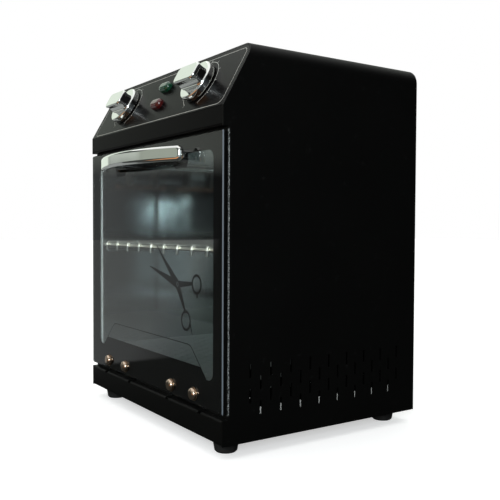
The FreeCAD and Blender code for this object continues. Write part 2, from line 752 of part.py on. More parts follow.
def make_control_panel():
    """The folded front above the door: a short forehead, then the slope with its controls."""
    body = new_body("control_panel")
    share = "((%s - %s) / slope_rise)" % (UNDER_TOP, SLOPE_LOW)
    top_y = "slope_run * " + share
    inner = "sheet_metal * %s / slope_rise" % SLOPE_LONG
    profile = Sketch(body, "YZ_Plane").outline([
        ("forehead_return", FOREHEAD_LOW), ("0", FOREHEAD_LOW), ("0", SLOPE_LOW), (top_y, UNDER_TOP),
        (top_y + " + forehead_return", UNDER_TOP), (top_y + " + forehead_return", UNDER_TOP + " - sheet_metal"),
        ("slope_run * (%s - sheet_metal - %s) / slope_rise + %s" % (UNDER_TOP, SLOPE_LOW, inner),
         UNDER_TOP + " - sheet_metal"),
        ("sheet_metal", "%s + (sheet_metal - %s) * slope_rise / slope_run" % (SLOPE_LOW, inner)),
        ("sheet_metal", FOREHEAD_LOW + " + sheet_metal"),
        ("forehead_return", FOREHEAD_LOW + " + sheet_metal")])
    grow(body, profile, "2 * " + BETWEEN, both=True)
    fold(body, [("0", FOREHEAD_LOW), ("0", SLOPE_LOW)], "fold_radius")
    fold(body, [("sheet_metal", FOREHEAD_LOW + " + sheet_metal")], "fold_radius - sheet_metal")
    radius = "casing_bend - sheet_metal - sheet_fit"
    for side, turned in (("", (0, 90)), ("-", (90, 180))):
        corner = Sketch(body, "XZ_Plane")
        mid_x = "%s(%s - casing_bend)" % (side, HALF)
        mid_z = "(%s - casing_bend)" % TOP
        out_x = "%s(%s + cut_overrun)" % (side, HALF)
        out_z = "(%s + cut_overrun)" % TOP
        bend = corner.arc(mid_x, mid_z, radius, *turned)
        ends = (1, 2) if side == "" else (2, 1)
        low_x = "%s(%s - casing_bend + %s)" % (side, HALF, radius)
        low_z = "(%s + %s)" % (mid_z, radius)
        lines = [corner.line((low_x, mid_z), (out_x, mid_z)), corner.line((out_x, mid_z), (out_x, out_z)),
                 corner.line((out_x, out_z), (mid_x, out_z)), corner.line((mid_x, out_z), (mid_x, low_z))]
        corner.meet(bend, ends[0], lines[0], 1)
        corner.join(lines[0], lines[1])
        corner.join(lines[1], lines[2])
        corner.join(lines[2], lines[3])
        corner.meet(lines[3], 2, bend, ends[1])
        corner.tie(lines[1], 1, out_x, mid_z)
        corner.tie(lines[2], 1, out_x, out_z)
        corner.tie(lines[3], 1, mid_x, out_z)
        corner.sketch.addConstraint(Sketcher.Constraint("Horizontal", lines[0]))
        corner.sketch.addConstraint(Sketcher.Constraint("Vertical", lines[3]))
        cut(body, corner)
    holes = Sketch(body, "XZ_Plane", slope=True)
    circles(holes, [("-knob_place", "knob_up"), ("knob_place", "knob_up")], "bush_diameter / 2 + hole_clearance")
    for up in ("green_lamp_up", "red_lamp_up"):
        holes.slot("lamp_place", up, "lamp_neck_long + 2 * hole_clearance",
                   "lamp_neck_wide + 2 * hole_clearance", upright=False)
    cut(body, holes, "3 * sheet_metal", both=True)


def make_rear_panel():
    """A flat plate closing the back, with rows of vent slots and a hole for the mains lead."""
    body = new_body("rear_panel")
    plate = Sketch(body, "XZ_Plane", offset="-cabinet_depth").box(minus(BETWEEN), UNDER, BETWEEN, UNDER_TOP)
    grow(body, plate, "sheet_metal")
    top = number(UNDER_TOP)
    soften(body, "casing_bend - sheet_metal - sheet_fit", lambda m, a, e: along_y(a) and near(m.z, top))
    vents = Sketch(body, "XZ_Plane", offset="-cabinet_depth")
    vents.slot("-(rear_slot_columns - 1) * rear_slot_pitch_wide / 2", TOP + " - rear_slots_top",
               "rear_slot_length", "rear_slot_height", upright=False)
    repeat(body, cut(body, vents, "3 * sheet_metal", both=True), "X_Axis", "rear_slot_pitch_wide",
           "rear_slot_columns", "Z_Axis", "rear_slot_pitch_high", "rear_slot_rows")
    holes = Sketch(body, "XZ_Plane", offset="-cabinet_depth")
    circles(holes, REAR_SCREW_PLACES + [("earth_place", "earth_height")], SCREW_HOLE)
    holes.circle("grommet_place", "grommet_height", "grommet_neck / 2 + hole_clearance")
    cut(body, holes, "3 * sheet_metal", both=True)


def make_face_frame():
    """The flat plate that the door closes on, open at the chamber and round the hinges."""
    body = new_body("face_frame")
    plate = Sketch(body, "XZ_Plane", offset="-door_recess")
    plate.box(minus(BETWEEN), CHIN_TOP + " + sheet_fit", BETWEEN, FOREHEAD_LOW + " - sheet_fit")
    grow(body, plate, "sheet_metal", backwards=True)
    side = "(chamber_half - frame_side_gap)"
    opening = Sketch(body, "XZ_Plane", offset="-door_recess")
    opening.box(minus(side), "grille_top", side, "chamber_ceiling - frame_side_gap")
    cut(body, opening, "3 * sheet_metal", both=True)
    inner, low, high = number(side), number("grille_top"), number("chamber_ceiling - frame_side_gap")
    soften(body, "frame_opening_corner",
           lambda m, a, e: along_y(a) and near(abs(m.x), inner) and (near(m.z, low) or near(m.z, high)))
    windows = Sketch(body, "XZ_Plane", offset="-door_recess")
    for sign in ("-", ""):
        left = "%shinge_centre - hinge_half - hinge_window_side" % sign
        right = "%shinge_centre + hinge_half + hinge_window_side" % sign
        windows.box(left, CHIN_TOP, right, HINGE_Z + " + hinge_plate_high + hinge_window_gap")
    cut(body, windows, "3 * sheet_metal", both=True)


def make_chamber_liner():
    """The bright tube of the chamber, flanged in front, with a ledge bead along each side."""
    body = new_body("chamber_liner")
    tube = Sketch(body, "XZ_Plane", offset=minus(LINER_FRONT))
    outer = "(chamber_half + liner_sheet)"
    tube.box(minus(outer), "chamber_floor - liner_sheet", outer, "chamber_ceiling + liner_sheet")
    tube.box("-chamber_half", "chamber_floor", "chamber_half", "chamber_ceiling")
    grow(body, tube, "chamber_rear - " + LINER_FRONT, backwards=True)
    half, wide = number("chamber_half"), number(outer)
    soften(body, "liner_corner", lambda m, a, e: along_y(a) and near(abs(m.x), half))
    soften(body, "liner_corner + liner_sheet", lambda m, a, e: along_y(a) and near(abs(m.x), wide))
    flange = Sketch(body, "XZ_Plane", offset=minus(LINER_FRONT))
    rim, mid = "(chamber_half + liner_flange)", "(chamber_half + liner_sheet / 2)"
    rim_top, mid_top = "chamber_ceiling + liner_flange", "chamber_ceiling + liner_sheet / 2"
    low = "chamber_floor + liner_corner"
    flange.outline([(minus(rim), low), (minus(rim), rim_top), (rim, rim_top), (rim, low), (mid, low),
                    (mid, mid_top), (minus(mid), mid_top), (minus(mid), low)])
    grow(body, flange, "liner_sheet", backwards=True)
    trim = Sketch(body, "XZ_Plane", offset=minus(LINER_FRONT))
    trim.box("-liner_trim_half", "chamber_floor - cut_overrun", "liner_trim_half", "chamber_floor + liner_sheet")
    cut(body, trim, "liner_front_trim")
    ledges = Sketch(body, "XZ_Plane", offset="-ledge_front")
    reach = "(shelf_rail / 2 + ledge_rest_gap + ledge_radius)"
    height = "(shelf_height - sqrt(%s^2 - (shelf_side_gap + shelf_rail / 2)^2))" % reach
    for side, turned in (("", (90, 270)), ("-", (-90, 90))):
        bead = ledges.arc(side + "chamber_half", height, "ledge_radius", *turned)
        wall = "%s(chamber_half + liner_sheet / 2)" % side
        up, down = height + " + ledge_radius", height + " - ledge_radius"
        ends = (1, 2) if side == "" else (2, 1)
        lines = [ledges.line((side + "chamber_half", down), (wall, down)), ledges.line((wall, down), (wall, up)),
                 ledges.line((wall, up), (side + "chamber_half", up))]
        ledges.meet(bead, ends[1], lines[0], 1)
        ledges.join(lines[0], lines[1])
        ledges.join(lines[1], lines[2])
        ledges.meet(lines[2], 2, bead, ends[0])
        ledges.tie(lines[1], 1, wall, down)
        ledges.tie(lines[2], 1, wall, up)
        for point in (1, 2):
            ledges.tie_across(bead, point, side + "chamber_half")
    grow(body, ledges, "chamber_rear - ledge_front - sheet_metal", backwards=True)


def make_chamber_back():
    """The rear wall of the chamber, with holes for the heater's ends and the thin sensing tube."""
    body = new_body("chamber_back")
    outer = "(chamber_half + back_plate_rim)"
    plate = Sketch(body, "XZ_Plane", offset="-(chamber_rear + sheet_fit)")
    plate.box(minus(outer), "chamber_floor - liner_sheet", outer, "chamber_ceiling + back_plate_rim")
    grow(body, plate, "liner_sheet", backwards=True)
    holes = Sketch(body, "XZ_Plane", offset="-(chamber_rear + sheet_fit)")
    circles(holes, [("-heater_leg", HEATER_Z), ("heater_leg", HEATER_Z)], "heater_bush / 2 + hole_clearance")
    holes.circle("knob_place", "chamber_ceiling - bulb_below_ceiling", "capillary / 2 + hole_clearance")
    cut(body, holes, "4 * liner_sheet", both=True)


def make_floor_grille():
    """The slotted tray over the heater: staggered slots, a short lip in front, legs on the rest."""
    body = new_body("floor_grille")
    half = "(chamber_half - grille_gap)"
    rear = "(chamber_rear - grille_gap)"
    foot = "(chamber_floor + sheet_fit)"
    tray = Sketch(body, "XY_Plane", offset=foot).box(minus(half), "grille_front", half, rear)
    grow(body, tray, "grille_top - %s" % foot)
    inside = Sketch(body, "XY_Plane", offset=foot)
    inside.box("-(%s - liner_sheet)" % half, "grille_front + liner_sheet", half + " - liner_sheet",
               rear + " - liner_sheet")
    cut(body, inside, "grille_top - %s - liner_sheet" % foot, backwards=True)
    front = Sketch(body, "XZ_Plane", offset="-(grille_front + liner_front_trim)")
    front.box("-(%s + cut_overrun)" % half, "chamber_floor - cut_overrun", half + " + cut_overrun",
              "grille_top - grille_lip")
    cut(body, front, "liner_front_trim + cut_overrun", backwards=True)
    corners = Sketch(body, "XZ_Plane")
    notches = Sketch(body, "XZ_Plane", offset="-(%s - liner_sheet / 2)" % rear)
    for sign in ("-", ""):
        corners.box(sign + "(chamber_half - liner_corner)", "chamber_floor", sign + "chamber_half",
                    "chamber_floor + liner_corner")
        notches.box(sign + "heater_leg - heater_tube / 2 - grille_gap", "chamber_floor - cut_overrun",
                    sign + "heater_leg + heater_tube / 2 + grille_gap", HEATER_Z + " + heater_tube / 2 + grille_gap")
    cut(body, corners)
    cut(body, notches, "3 * liner_sheet", both=True)
    for shift in ("0", "1"):
        slots = Sketch(body, "XY_Plane", offset="grille_top")
        x = "-(grille_columns - 1 - %s) * grille_pitch_wide / 2" % shift
        y = "grille_slots_front + %s * grille_pitch_deep / 2" % shift
        slots.box(x + " - grille_slot_width / 2", y, x + " + grille_slot_width / 2", y + " + grille_slot_length")
        repeat(body, cut(body, slots, "3 * liner_sheet", both=True), "X_Axis", "grille_pitch_wide",
               "(grille_columns - %s)" % shift, "Y_Axis", "grille_pitch_deep", "grille_rows")


def make_insulation():
    """A mineral wool blanket over the chamber, and a slab behind it."""
    body = new_body("insulation_wrap")
    near_side = "(chamber_half + liner_sheet + insulation_gap)"
    near_top = "(chamber_ceiling + liner_sheet + insulation_gap)"
    far_side, far_top = near_side + " + insulation_thick", near_top + " + insulation_thick"
    blanket = Sketch(body, "XZ_Plane", offset="-insulation_front").outline([
        (minus(far_side), "insulation_low"), (minus(far_side), far_top), (far_side, far_top),
        (far_side, "insulation_low"), (near_side, "insulation_low"), (near_side, near_top),
        (minus(near_side), near_top), (minus(near_side), "insulation_low")])
    grow(body, blanket, "chamber_rear - insulation_front - liner_sheet", backwards=True)
    body = new_body("insulation_back")
    plate_rear = "(chamber_rear + sheet_fit + liner_sheet + insulation_gap)"
    slab = Sketch(body, "XZ_Plane", offset=minus(plate_rear))
    slab.box("-chamber_half", "insulation_low", "chamber_half", "chamber_ceiling")
    slab.circle("knob_place", "chamber_ceiling - bulb_below_ceiling", "2 * capillary")
    grow(body, slab, "insulation_thick", backwards=True)


def smooth_path(sketch, start, arcs, end):
    """Straight runs joined by tangent arcs. An arc is a middle, a radius, two angles and its sense."""
    places = []
    for x, y, radius, first, last, leftward in arcs:
        index = sketch.arc(x, y, radius, first, last)
        places.append((index, 1, 2) if leftward else (index, 2, 1))
    begin = FreeCAD.Vector(number(start[0]), number(start[1]), 0)
    meeting = sketch.sketch.getPoint(places[0][0], places[0][1])
    first_line = sketch.sketch.addGeometry(Part.LineSegment(begin, meeting), False)
    sketch.tie(first_line, 1, start[0], start[1])
    sketch.sketch.addConstraint(Sketcher.Constraint("Tangent", first_line, 2, places[0][0], places[0][1]))
    for (one, _, leave), (two, enter, _) in zip(places, places[1:]):
        run = sketch.sketch.addGeometry(Part.LineSegment(sketch.sketch.getPoint(one, leave),
                                                         sketch.sketch.getPoint(two, enter)), False)
        sketch.sketch.addConstraint(Sketcher.Constraint("Tangent", one, leave, run, 1))
        sketch.sketch.addConstraint(Sketcher.Constraint("Tangent", run, 2, two, enter))
    last_arc, _, leave = places[-1]
    finish = FreeCAD.Vector(number(end[0]), number(end[1]), 0)
    run = sketch.sketch.addGeometry(Part.LineSegment(sketch.sketch.getPoint(last_arc, leave), finish), False)
    sketch.sketch.addConstraint(Sketcher.Constraint("Tangent", last_arc, leave, run, 1))
    sketch.tie(run, 2, end[0], end[1])
    return sketch


def pipe(body, spine, profile):
    """Sweep a profile along a path."""
    feature = body.newObject("PartDesign::AdditivePipe", body.Name + "_pipe")
    feature.Profile = profile.sketch
    feature.Spine = (spine.sketch, [])
    body.Tip = feature
    return feature


def make_heater():
    """A sheathed tube bent into three turns under the grille, with its saddles and end fittings."""
    body = new_body("heating_element")
    radius = "((heater_leg - heater_inner_leg) / 2)"
    turn_middle = "((heater_leg + heater_inner_leg) / 2)"
    rear = "(chamber_rear + heater_end)"
    front = "(heater_front + %s)" % radius
    spine = Sketch(body, "XY_Plane", offset=HEATER_Z)
    smooth_path(spine, ("-heater_leg", rear), [
        (minus(turn_middle), front, radius, 180, 360, True),
        ("0", "heater_middle", "heater_inner_leg", 0, 180, False),
        (turn_middle, front, radius, 180, 360, True)], ("heater_leg", rear))
    profile = Sketch(body, "XZ_Plane", offset=minus(rear)).circle("-heater_leg", HEATER_Z, "heater_tube / 2")
    pipe(body, spine, profile)
    ends = [("-heater_leg", HEATER_Z), ("heater_leg", HEATER_Z)]
    legs = ends + [("-heater_inner_leg", HEATER_Z), ("heater_inner_leg", HEATER_Z)]
    body = new_body("heater_saddles")
    blocks = Sketch(body, "XZ_Plane", offset="-heater_saddle_place")
    for x, z in legs:
        blocks.box(x + " - heater_saddle_wide / 2", "chamber_floor + sheet_fit", x + " + heater_saddle_wide / 2",
                   "grille_top - liner_sheet - sheet_fit")
    grow(body, blocks, "heater_saddle_deep", backwards=True)
    bores = circles(Sketch(body, "XZ_Plane", offset="-heater_saddle_place"), legs,
                    "heater_tube / 2 + hole_clearance")
    cut(body, bores, "3 * heater_saddle_deep", both=True)
    body = new_body("heater_bushes")
    shanks = circles(Sketch(body, "XZ_Plane", offset="-chamber_rear"), ends, "heater_bush / 2")
    grow(body, shanks, "heater_bush_long", backwards=True)
    rims = circles(Sketch(body, "XZ_Plane", offset="-(chamber_rear + 2 * sheet_fit + liner_sheet)"), ends,
                   "heater_bush_flange / 2")
    grow(body, rims, "heater_bush_rim", backwards=True)
    bores = circles(Sketch(body, "XZ_Plane", offset="-chamber_rear"), ends, "heater_tube / 2 + hole_clearance")
    cut(body, bores, "3 * heater_bush_long", both=True)
    body = new_body("heater_terminals")
    studs = circles(Sketch(body, "XZ_Plane", offset="-(%s + sheet_fit / 2)" % rear), ends, "heater_stud / 2")
    grow(body, studs, "heater_stud_long", backwards=True)
    nuts = hexagons(Sketch(body, "XZ_Plane", offset="-(%s + sheet_fit / 2)" % rear), ends, "heater_nut_flats")
    grow(body, nuts, "heater_nut_tall", backwards=True)


def make_shelf():
    """A wire shelf: a bent frame, and nine wires over it whose front ends turn down."""
    body = new_body("wire_shelf")
    side = "(chamber_half - shelf_side_gap - shelf_rail / 2)"
    near_y, far_y = "(shelf_front + shelf_corner)", "(shelf_rear - shelf_corner)"
    frame = Sketch(body, "XY_Plane", offset="shelf_height")
    smooth_path(frame, ("0", "shelf_front"), [
        ("(%s - shelf_corner)" % side, near_y, "shelf_corner", 270, 360, True),
        ("(%s - shelf_corner)" % side, far_y, "shelf_corner", 0, 90, True),
        ("-(%s - shelf_corner)" % side, far_y, "shelf_corner", 90, 180, True),
        ("-(%s - shelf_corner)" % side, near_y, "shelf_corner", 180, 270, True)], ("0", "shelf_front"))
    profile = Sketch(body, "YZ_Plane").circle("shelf_front", "shelf_height", "shelf_rail / 2")
    pipe(body, frame, profile)
    level = "(shelf_height + shelf_rail / 2 + shelf_wire / 2 - shelf_weld)"
    drop_y = "(shelf_front - shelf_rail / 2 - shelf_wire / 2 + shelf_weld)"
    first = "-(shelf_wires - 1) * shelf_pitch / 2"
    wire = Sketch(body, "YZ_Plane", offset=first)
    smooth_path(wire, ("shelf_rear", level), [
        ("(%s + shelf_end_bend)" % drop_y, "(%s - shelf_end_bend)" % level, "shelf_end_bend", 90, 180, True)],
        (drop_y, "shelf_height - shelf_end_drop"))
    section = Sketch(body, "XZ_Plane", offset="-shelf_rear").circle(first, level, "shelf_wire / 2")
    repeat(body, pipe(body, wire, section), "X_Axis", "shelf_pitch", "shelf_wires")


def make_controls():
    """Timer and thermostat behind the slope, their nuts in front of it and the knobs they carry."""
    behind = "(sheet_metal + sheet_fit)"
    for name, x, side, deep in (("timer_body", "-knob_place", "timer_side", "timer_deep"),
                                ("thermostat_body", "knob_place", "thermostat_side", "thermostat_deep")):
        body = new_body(name)
        put_on_slope(body, x, "knob_up")
        reach = "%s / 2" % side
        case = Sketch(body, "XY_Plane", offset=minus(behind)).box(minus(reach), minus(reach), reach, reach)
        grow(body, case, deep, backwards=True)
        soften(body, "control_corner", lambda m, a, e: along_z(a))
        tabs = Sketch(body, "XY_Plane", offset="-(%s + %s)" % (behind, deep))
        for step in ("-tab_spacing", "tab_spacing"):
            tabs.box(step + " - tab_thick / 2", "-(tab_wide + tab_low)", step + " + tab_thick / 2", "-tab_low")
        grow(body, tabs, "tab_long", backwards=True)
        bush = Sketch(body, "XY_Plane", offset=minus(behind)).circle("0", "0", "bush_diameter / 2")
        grow(body, bush, "%s + bush_proud" % behind)
        bore = Sketch(body, "XY_Plane", offset="bush_proud").circle("0", "0", "shaft_diameter / 2 + shaft_fit")
        cut(body, bore, "bush_proud + shaft_below_panel + hole_clearance")
    body = new_body("control_nuts")
    put_on_slope(body, "0", "knob_up")
    places = [("-knob_place", "0"), ("knob_place", "0")]
    nuts = hexagons(Sketch(body, "XY_Plane", offset="nut_fit"), places, "panel_nut_flats")
    circles(nuts, places, "bush_diameter / 2 + nut_fit")
    grow(body, nuts, "panel_nut_tall")
    far_x, far_y = ["(%s / 2 - knob_bar_corner)" % side for side in ("knob_bar_long", "knob_bar_wide")]
    for name, x in (("timer", "-knob_place"), ("thermostat", "knob_place")):
        body = new_body(name + "_knob")
        put_on_slope(body, x, "knob_up")
        base = Sketch(body, "XY_Plane", offset="knob_gap").circle("0", "0", "knob_diameter / 2")
        grow(body, base, "knob_base_tall")
        top = number("knob_gap + knob_base_tall")
        soften(body, "knob_base_round", lambda m, a, e: near(m.z, top))
        bar = Sketch(body, "XY_Plane", offset="knob_gap + knob_base_tall / 2")
        start = ("0", "-knob_bar_wide / 2")
        smooth_path(bar, start, [
            (far_x, minus(far_y), "knob_bar_corner", 270, 360, True),
            (far_x, far_y, "knob_bar_corner", 0, 90, True),
            (minus(far_x), far_y, "knob_bar_corner", 90, 180, True),
            (minus(far_x), minus(far_y), "knob_bar_corner", 180, 270, True)], start)
        grow(body, bar, "knob_base_tall / 2 + knob_bar_tall")
        scoops = Sketch(body, "YZ_Plane")
        for side in ("-", ""):
            scoops.circle(side + "knob_scoop_place", "knob_gap + knob_base_tall + knob_scoop_up", "knob_scoop")
        cut(body, scoops)
        top = number("knob_gap + knob_base_tall + knob_bar_tall")
        soften(body, "knob_bar_round", lambda m, a, e: near(m.z, top))
        recess = Sketch(body, "XY_Plane", offset="knob_gap").circle("0", "0", "knob_recess / 2")
        cut(body, recess, "knob_recess_deep", backwards=True)
        socket = Sketch(body, "XY_Plane", offset="knob_gap").circle("0", "0", "shaft_diameter / 2 + nut_fit")
        cut(body, socket, "shaft_above_panel - knob_gap + hole_clearance", backwards=True)
        body = new_body(name + "_shaft")
        put_on_slope(body, x, "knob_up")
        rod = Sketch(body, "XY_Plane", offset="-shaft_below_panel").circle("0", "0", "shaft_diameter / 2")
        grow(body, rod, "shaft_below_panel + shaft_above_panel")
        flat = Sketch(body, "XY_Plane", offset="shaft_above_panel")
        flat.box("-shaft_diameter", "shaft_diameter / 2 - shaft_flat", "shaft_diameter", "shaft_diameter")
        cut(body, flat, "shaft_above_panel - bush_proud - hole_clearance")


def make_lamps():
    """Two domed lenses on the slope, with their lamp bodies behind it."""
    places = []
    for name, up in (("green_lamp", "green_lamp_up"), ("red_lamp", "red_lamp_up")):
        body = new_body(name)
        put_on_slope(body, "lamp_place", up)
        dome = Sketch(body, "XY_Plane", offset="nut_fit").slot("0", "0", "lamp_long", "lamp_wide", upright=False)
        grow(body, dome, "lamp_proud")
        top = number("nut_fit + lamp_proud")
        soften(body, "lamp_round", lambda m, a, e: near(m.z, top))
        neck = Sketch(body, "XY_Plane", offset="nut_fit")
        neck.slot("0", "0", "lamp_neck_long", "lamp_neck_wide", upright=False)
        grow(body, neck, "nut_fit + sheet_metal + sheet_fit", backwards=True)
        places.append(("lamp_place", up))
    body = new_body("lamp_bodies")
    put_on_slope(body, "0", "0")
    shells = Sketch(body, "XY_Plane", offset="-(sheet_metal + 2 * sheet_fit)")
    for x, y in places:
        shells.box(x + " - lamp_long / 2", y + " - lamp_body_wide / 2", x + " + lamp_long / 2",
                   y + " + lamp_body_wide / 2")
    grow(body, shells, "lamp_body_deep", backwards=True)
    tabs = Sketch(body, "XY_Plane", offset="-(sheet_metal + 2 * sheet_fit + lamp_body_deep)")
    for x, y in places:
        for step in (" - lamp_tab_spacing", " + lamp_tab_spacing"):
            tabs.box(x + step + " - tab_thick / 2", y + " - tab_wide / 4", x + step + " + tab_thick / 2",
                     y + " + tab_wide / 4")
    grow(body, tabs, "tab_long", backwards=True)


def make_sensing_tube():
    """The thermostat's bulb under the ceiling and the thin tube that leads back and up to it."""
    body = new_body("sensing_bulb")
    bulb_z = "(chamber_ceiling - bulb_below_ceiling)"
    bulb_rear = "(chamber_rear - bulb_gap_rear)"
    bulb = Sketch(body, "XZ_Plane", offset="-(%s - bulb_long)" % bulb_rear)
    bulb.circle("knob_place", bulb_z, "bulb_diameter / 2")
    grow(body, bulb, "bulb_long", backwards=True)
    ends = [number("%s - bulb_long" % bulb_rear), number(bulb_rear)]
    soften(body, "bulb_diameter / 4", lambda m, a, e: any(near(m.y, y) for y in ends))
    behind = "(sheet_metal + sheet_fit + thermostat_deep)"
    end_y = "((knob_up * slope_run + %s * slope_rise) / %s + capillary)" % (behind, SLOPE_LONG)
    end_z = "(%s + (knob_up * slope_rise - %s * slope_run) / %s)" % (SLOPE_LOW, behind, SLOPE_LONG)
    upright = "(chamber_rear + capillary_rear)"
    spine = Sketch(body, "YZ_Plane", offset="knob_place")
    smooth_path(spine, (bulb_rear + " - capillary", bulb_z), [
        (upright + " - capillary_bend", bulb_z + " + capillary_bend", "capillary_bend", 270, 360, True),
        (upright + " - capillary_bend", end_z + " - capillary_bend", "capillary_bend", 0, 90, True)],
        (end_y, end_z))
    profile = Sketch(body, "XZ_Plane", offset="-(%s - capillary)" % bulb_rear)
    pipe(body, spine, profile.circle("knob_place", bulb_z, "capillary / 2"))
    body = new_body("bulb_clips")
    for share in CLIP_AND_ROW_SHARES:
        strap = Sketch(body, "XZ_Plane", offset="-(%s - %s * bulb_long)" % (bulb_rear, share))
        strap.box("knob_place - bulb_diameter", bulb_z, "knob_place + bulb_diameter",
                  "chamber_ceiling - sheet_fit")
        grow(body, strap, "bulb_clip_deep", both=True)
    for share in CLIP_AND_ROW_SHARES:
        bore = Sketch(body, "XZ_Plane", offset="-(%s - %s * bulb_long)" % (bulb_rear, share))
        bore.circle("knob_place", bulb_z, "bulb_diameter / 2 + hole_clearance")
        cut(body, bore, "2 * bulb_clip_deep", both=True)


def make_electrics():
    """A cut-out on the back of the chamber, a connector block on the floor and the rear fittings."""
    body = new_body("thermal_cutout")
    back = "(chamber_rear + 2 * sheet_fit + liner_sheet)"
    flange = Sketch(body, "XZ_Plane", offset=minus(back))
    flange.slot("0", "cutout_height", "cutout_flange", "cutout_diameter / 2", upright=False)
    grow(body, flange, "sheet_metal", backwards=True)
    cap = Sketch(body, "XZ_Plane", offset=minus(back)).circle("0", "cutout_height", "cutout_diameter / 2")
    grow(body, cap, "cutout_tall", backwards=True)
    tabs = Sketch(body, "XZ_Plane", offset="-(%s + cutout_tall)" % back)
    for step in ("-cutout_diameter / 4", "cutout_diameter / 4"):
        tabs.box(step + " - tab_thick / 2", "cutout_height - tab_wide / 2", step + " + tab_thick / 2",
                 "cutout_height + tab_wide / 2")
    grow(body, tabs, "tab_long", backwards=True)
    body = new_body("terminal_block")
    floor = "(foot_height + sheet_metal + nut_fit)"
    block = Sketch(body, "XY_Plane", offset=floor)
    block.box("-(block_place + block_long)", "block_front", "-block_place", "block_front + block_wide")
    grow(body, block, "block_tall")
    wells = Sketch(body, "XY_Plane", offset=floor + " + block_tall")
    for step in ("-block_pitch", "0", "block_pitch"):
        for share in CLIP_AND_ROW_SHARES:
            wells.circle("-(block_place + block_long / 2) + %s" % step, "block_front + %s * block_wide" % share,
                         "block_screw / 2")
    cut(body, wells, "block_screw")
    body = new_body("cord_grommet")
    put_in_place(body, "grommet_place", "cabinet_depth", "grommet_height")
    ring = Sketch(body, "YZ_Plane").outline([
        ("grommet_reach", "grommet_bore / 2"), ("grommet_reach", "grommet_bore / 2 + sheet_metal"),
        ("grommet_flange_thick", "grommet_flange / 2"), ("nut_fit", "grommet_flange / 2"),
        ("nut_fit", "grommet_neck / 2"), ("-(sheet_metal + nut_fit)", "grommet_neck / 2"),
        ("-(sheet_metal + nut_fit)", "grommet_flange / 2 - sheet_metal"),
        ("-(sheet_metal + grommet_flange_thick)", "grommet_flange / 2 - sheet_metal"),
        ("-(sheet_metal + grommet_flange_thick)", "grommet_bore / 2")])
    turn(body, ring, axis="H_Axis")
    body = new_body("earth_screw")
    head = hexagons(Sketch(body, "XZ_Plane", offset="-(cabinet_depth + nut_fit)"),
                    [("earth_place", "earth_height")], "earth_flats")
    grow(body, head, "earth_shank / 2 + nut_fit", backwards=True)
    shank = Sketch(body, "XZ_Plane", offset="-(cabinet_depth + nut_fit)")
    shank.circle("earth_place", "earth_height", "earth_shank / 2")
    grow(body, shank, "small_screw_long")


def make_feet_and_screws():
    """Rubber feet with a screw up through each, and the screws that hold the sheets together."""
    for name, x, y in (("foot_front_left", "-foot_place_wide", "foot_front"),
                       ("foot_front_right", "foot_place_wide", "foot_front"),
                       ("foot_rear_left", "-foot_place_wide", "foot_rear"),
                       ("foot_rear_right", "foot_place_wide", "foot_rear")):
        body = new_body(name)
        put_in_place(body, x, y)
        profile = Sketch(body, "XZ_Plane").outline([
            ("foot_recess / 2", "0"), ("foot_bottom / 2 - foot_edge", "0"), ("foot_bottom / 2", "foot_edge"),
            ("foot_top / 2", "foot_height - foot_edge"), ("foot_top / 2", "foot_height"),
            (SCREW_HOLE, "foot_height"), (SCREW_HOLE, "foot_recess_deep"),
            ("foot_recess / 2", "foot_recess_deep")])
        turn(body, profile)
    body = new_body("foot_screws")
    heads = circles(Sketch(body, "XY_Plane", offset="foot_recess_deep"), FOOT_PLACES, "small_screw_head / 2")
    grow(body, heads, "small_screw_dome", backwards=True)
    low = number("foot_recess_deep - small_screw_dome")
    soften(body, "small_screw_round", lambda m, a, e: near(m.z, low))
    shanks = circles(Sketch(body, "XY_Plane", offset="foot_recess_deep"), FOOT_PLACES, "small_screw / 2")
    grow(body, shanks, "foot_height - foot_recess_deep + small_screw_long")
    body = new_body("foot_nuts")
    nuts = hexagons(Sketch(body, "XY_Plane", offset="foot_height + sheet_metal + nut_fit"), FOOT_PLACES,
                    "small_nut_flats")
    circles(nuts, FOOT_PLACES, "small_screw / 2 + nut_fit")
    grow(body, nuts, "small_nut_tall")
    body = new_body("base_screws")
    heads = circles(Sketch(body, "XY_Plane", offset="foot_height - nut_fit"), BASE_SCREW_PLACES,
                    "small_screw_head / 2")
    grow(body, heads, "small_screw_dome", backwards=True)
    low = number("foot_height - nut_fit - small_screw_dome")
    soften(body, "small_screw_round", lambda m, a, e: near(m.z, low))
    shanks = circles(Sketch(body, "XY_Plane", offset="foot_height - nut_fit"), BASE_SCREW_PLACES,
                     "small_screw / 2")
    grow(body, shanks, "small_screw_long")
    body = new_body("rear_screws")
    heads = circles(Sketch(body, "XZ_Plane", offset="-(cabinet_depth + nut_fit)"), REAR_SCREW_PLACES,
                    "small_screw_head / 2")
    grow(body, heads, "small_screw_dome", backwards=True)
    far = number("cabinet_depth + nut_fit + small_screw_dome")
    soften(body, "small_screw_round", lambda m, a, e: near(m.y, far))
    shanks = circles(Sketch(body, "XZ_Plane", offset="-(cabinet_depth + nut_fit)"), REAR_SCREW_PLACES,
                     "small_screw / 2")
    grow(body, shanks, "small_screw_long")


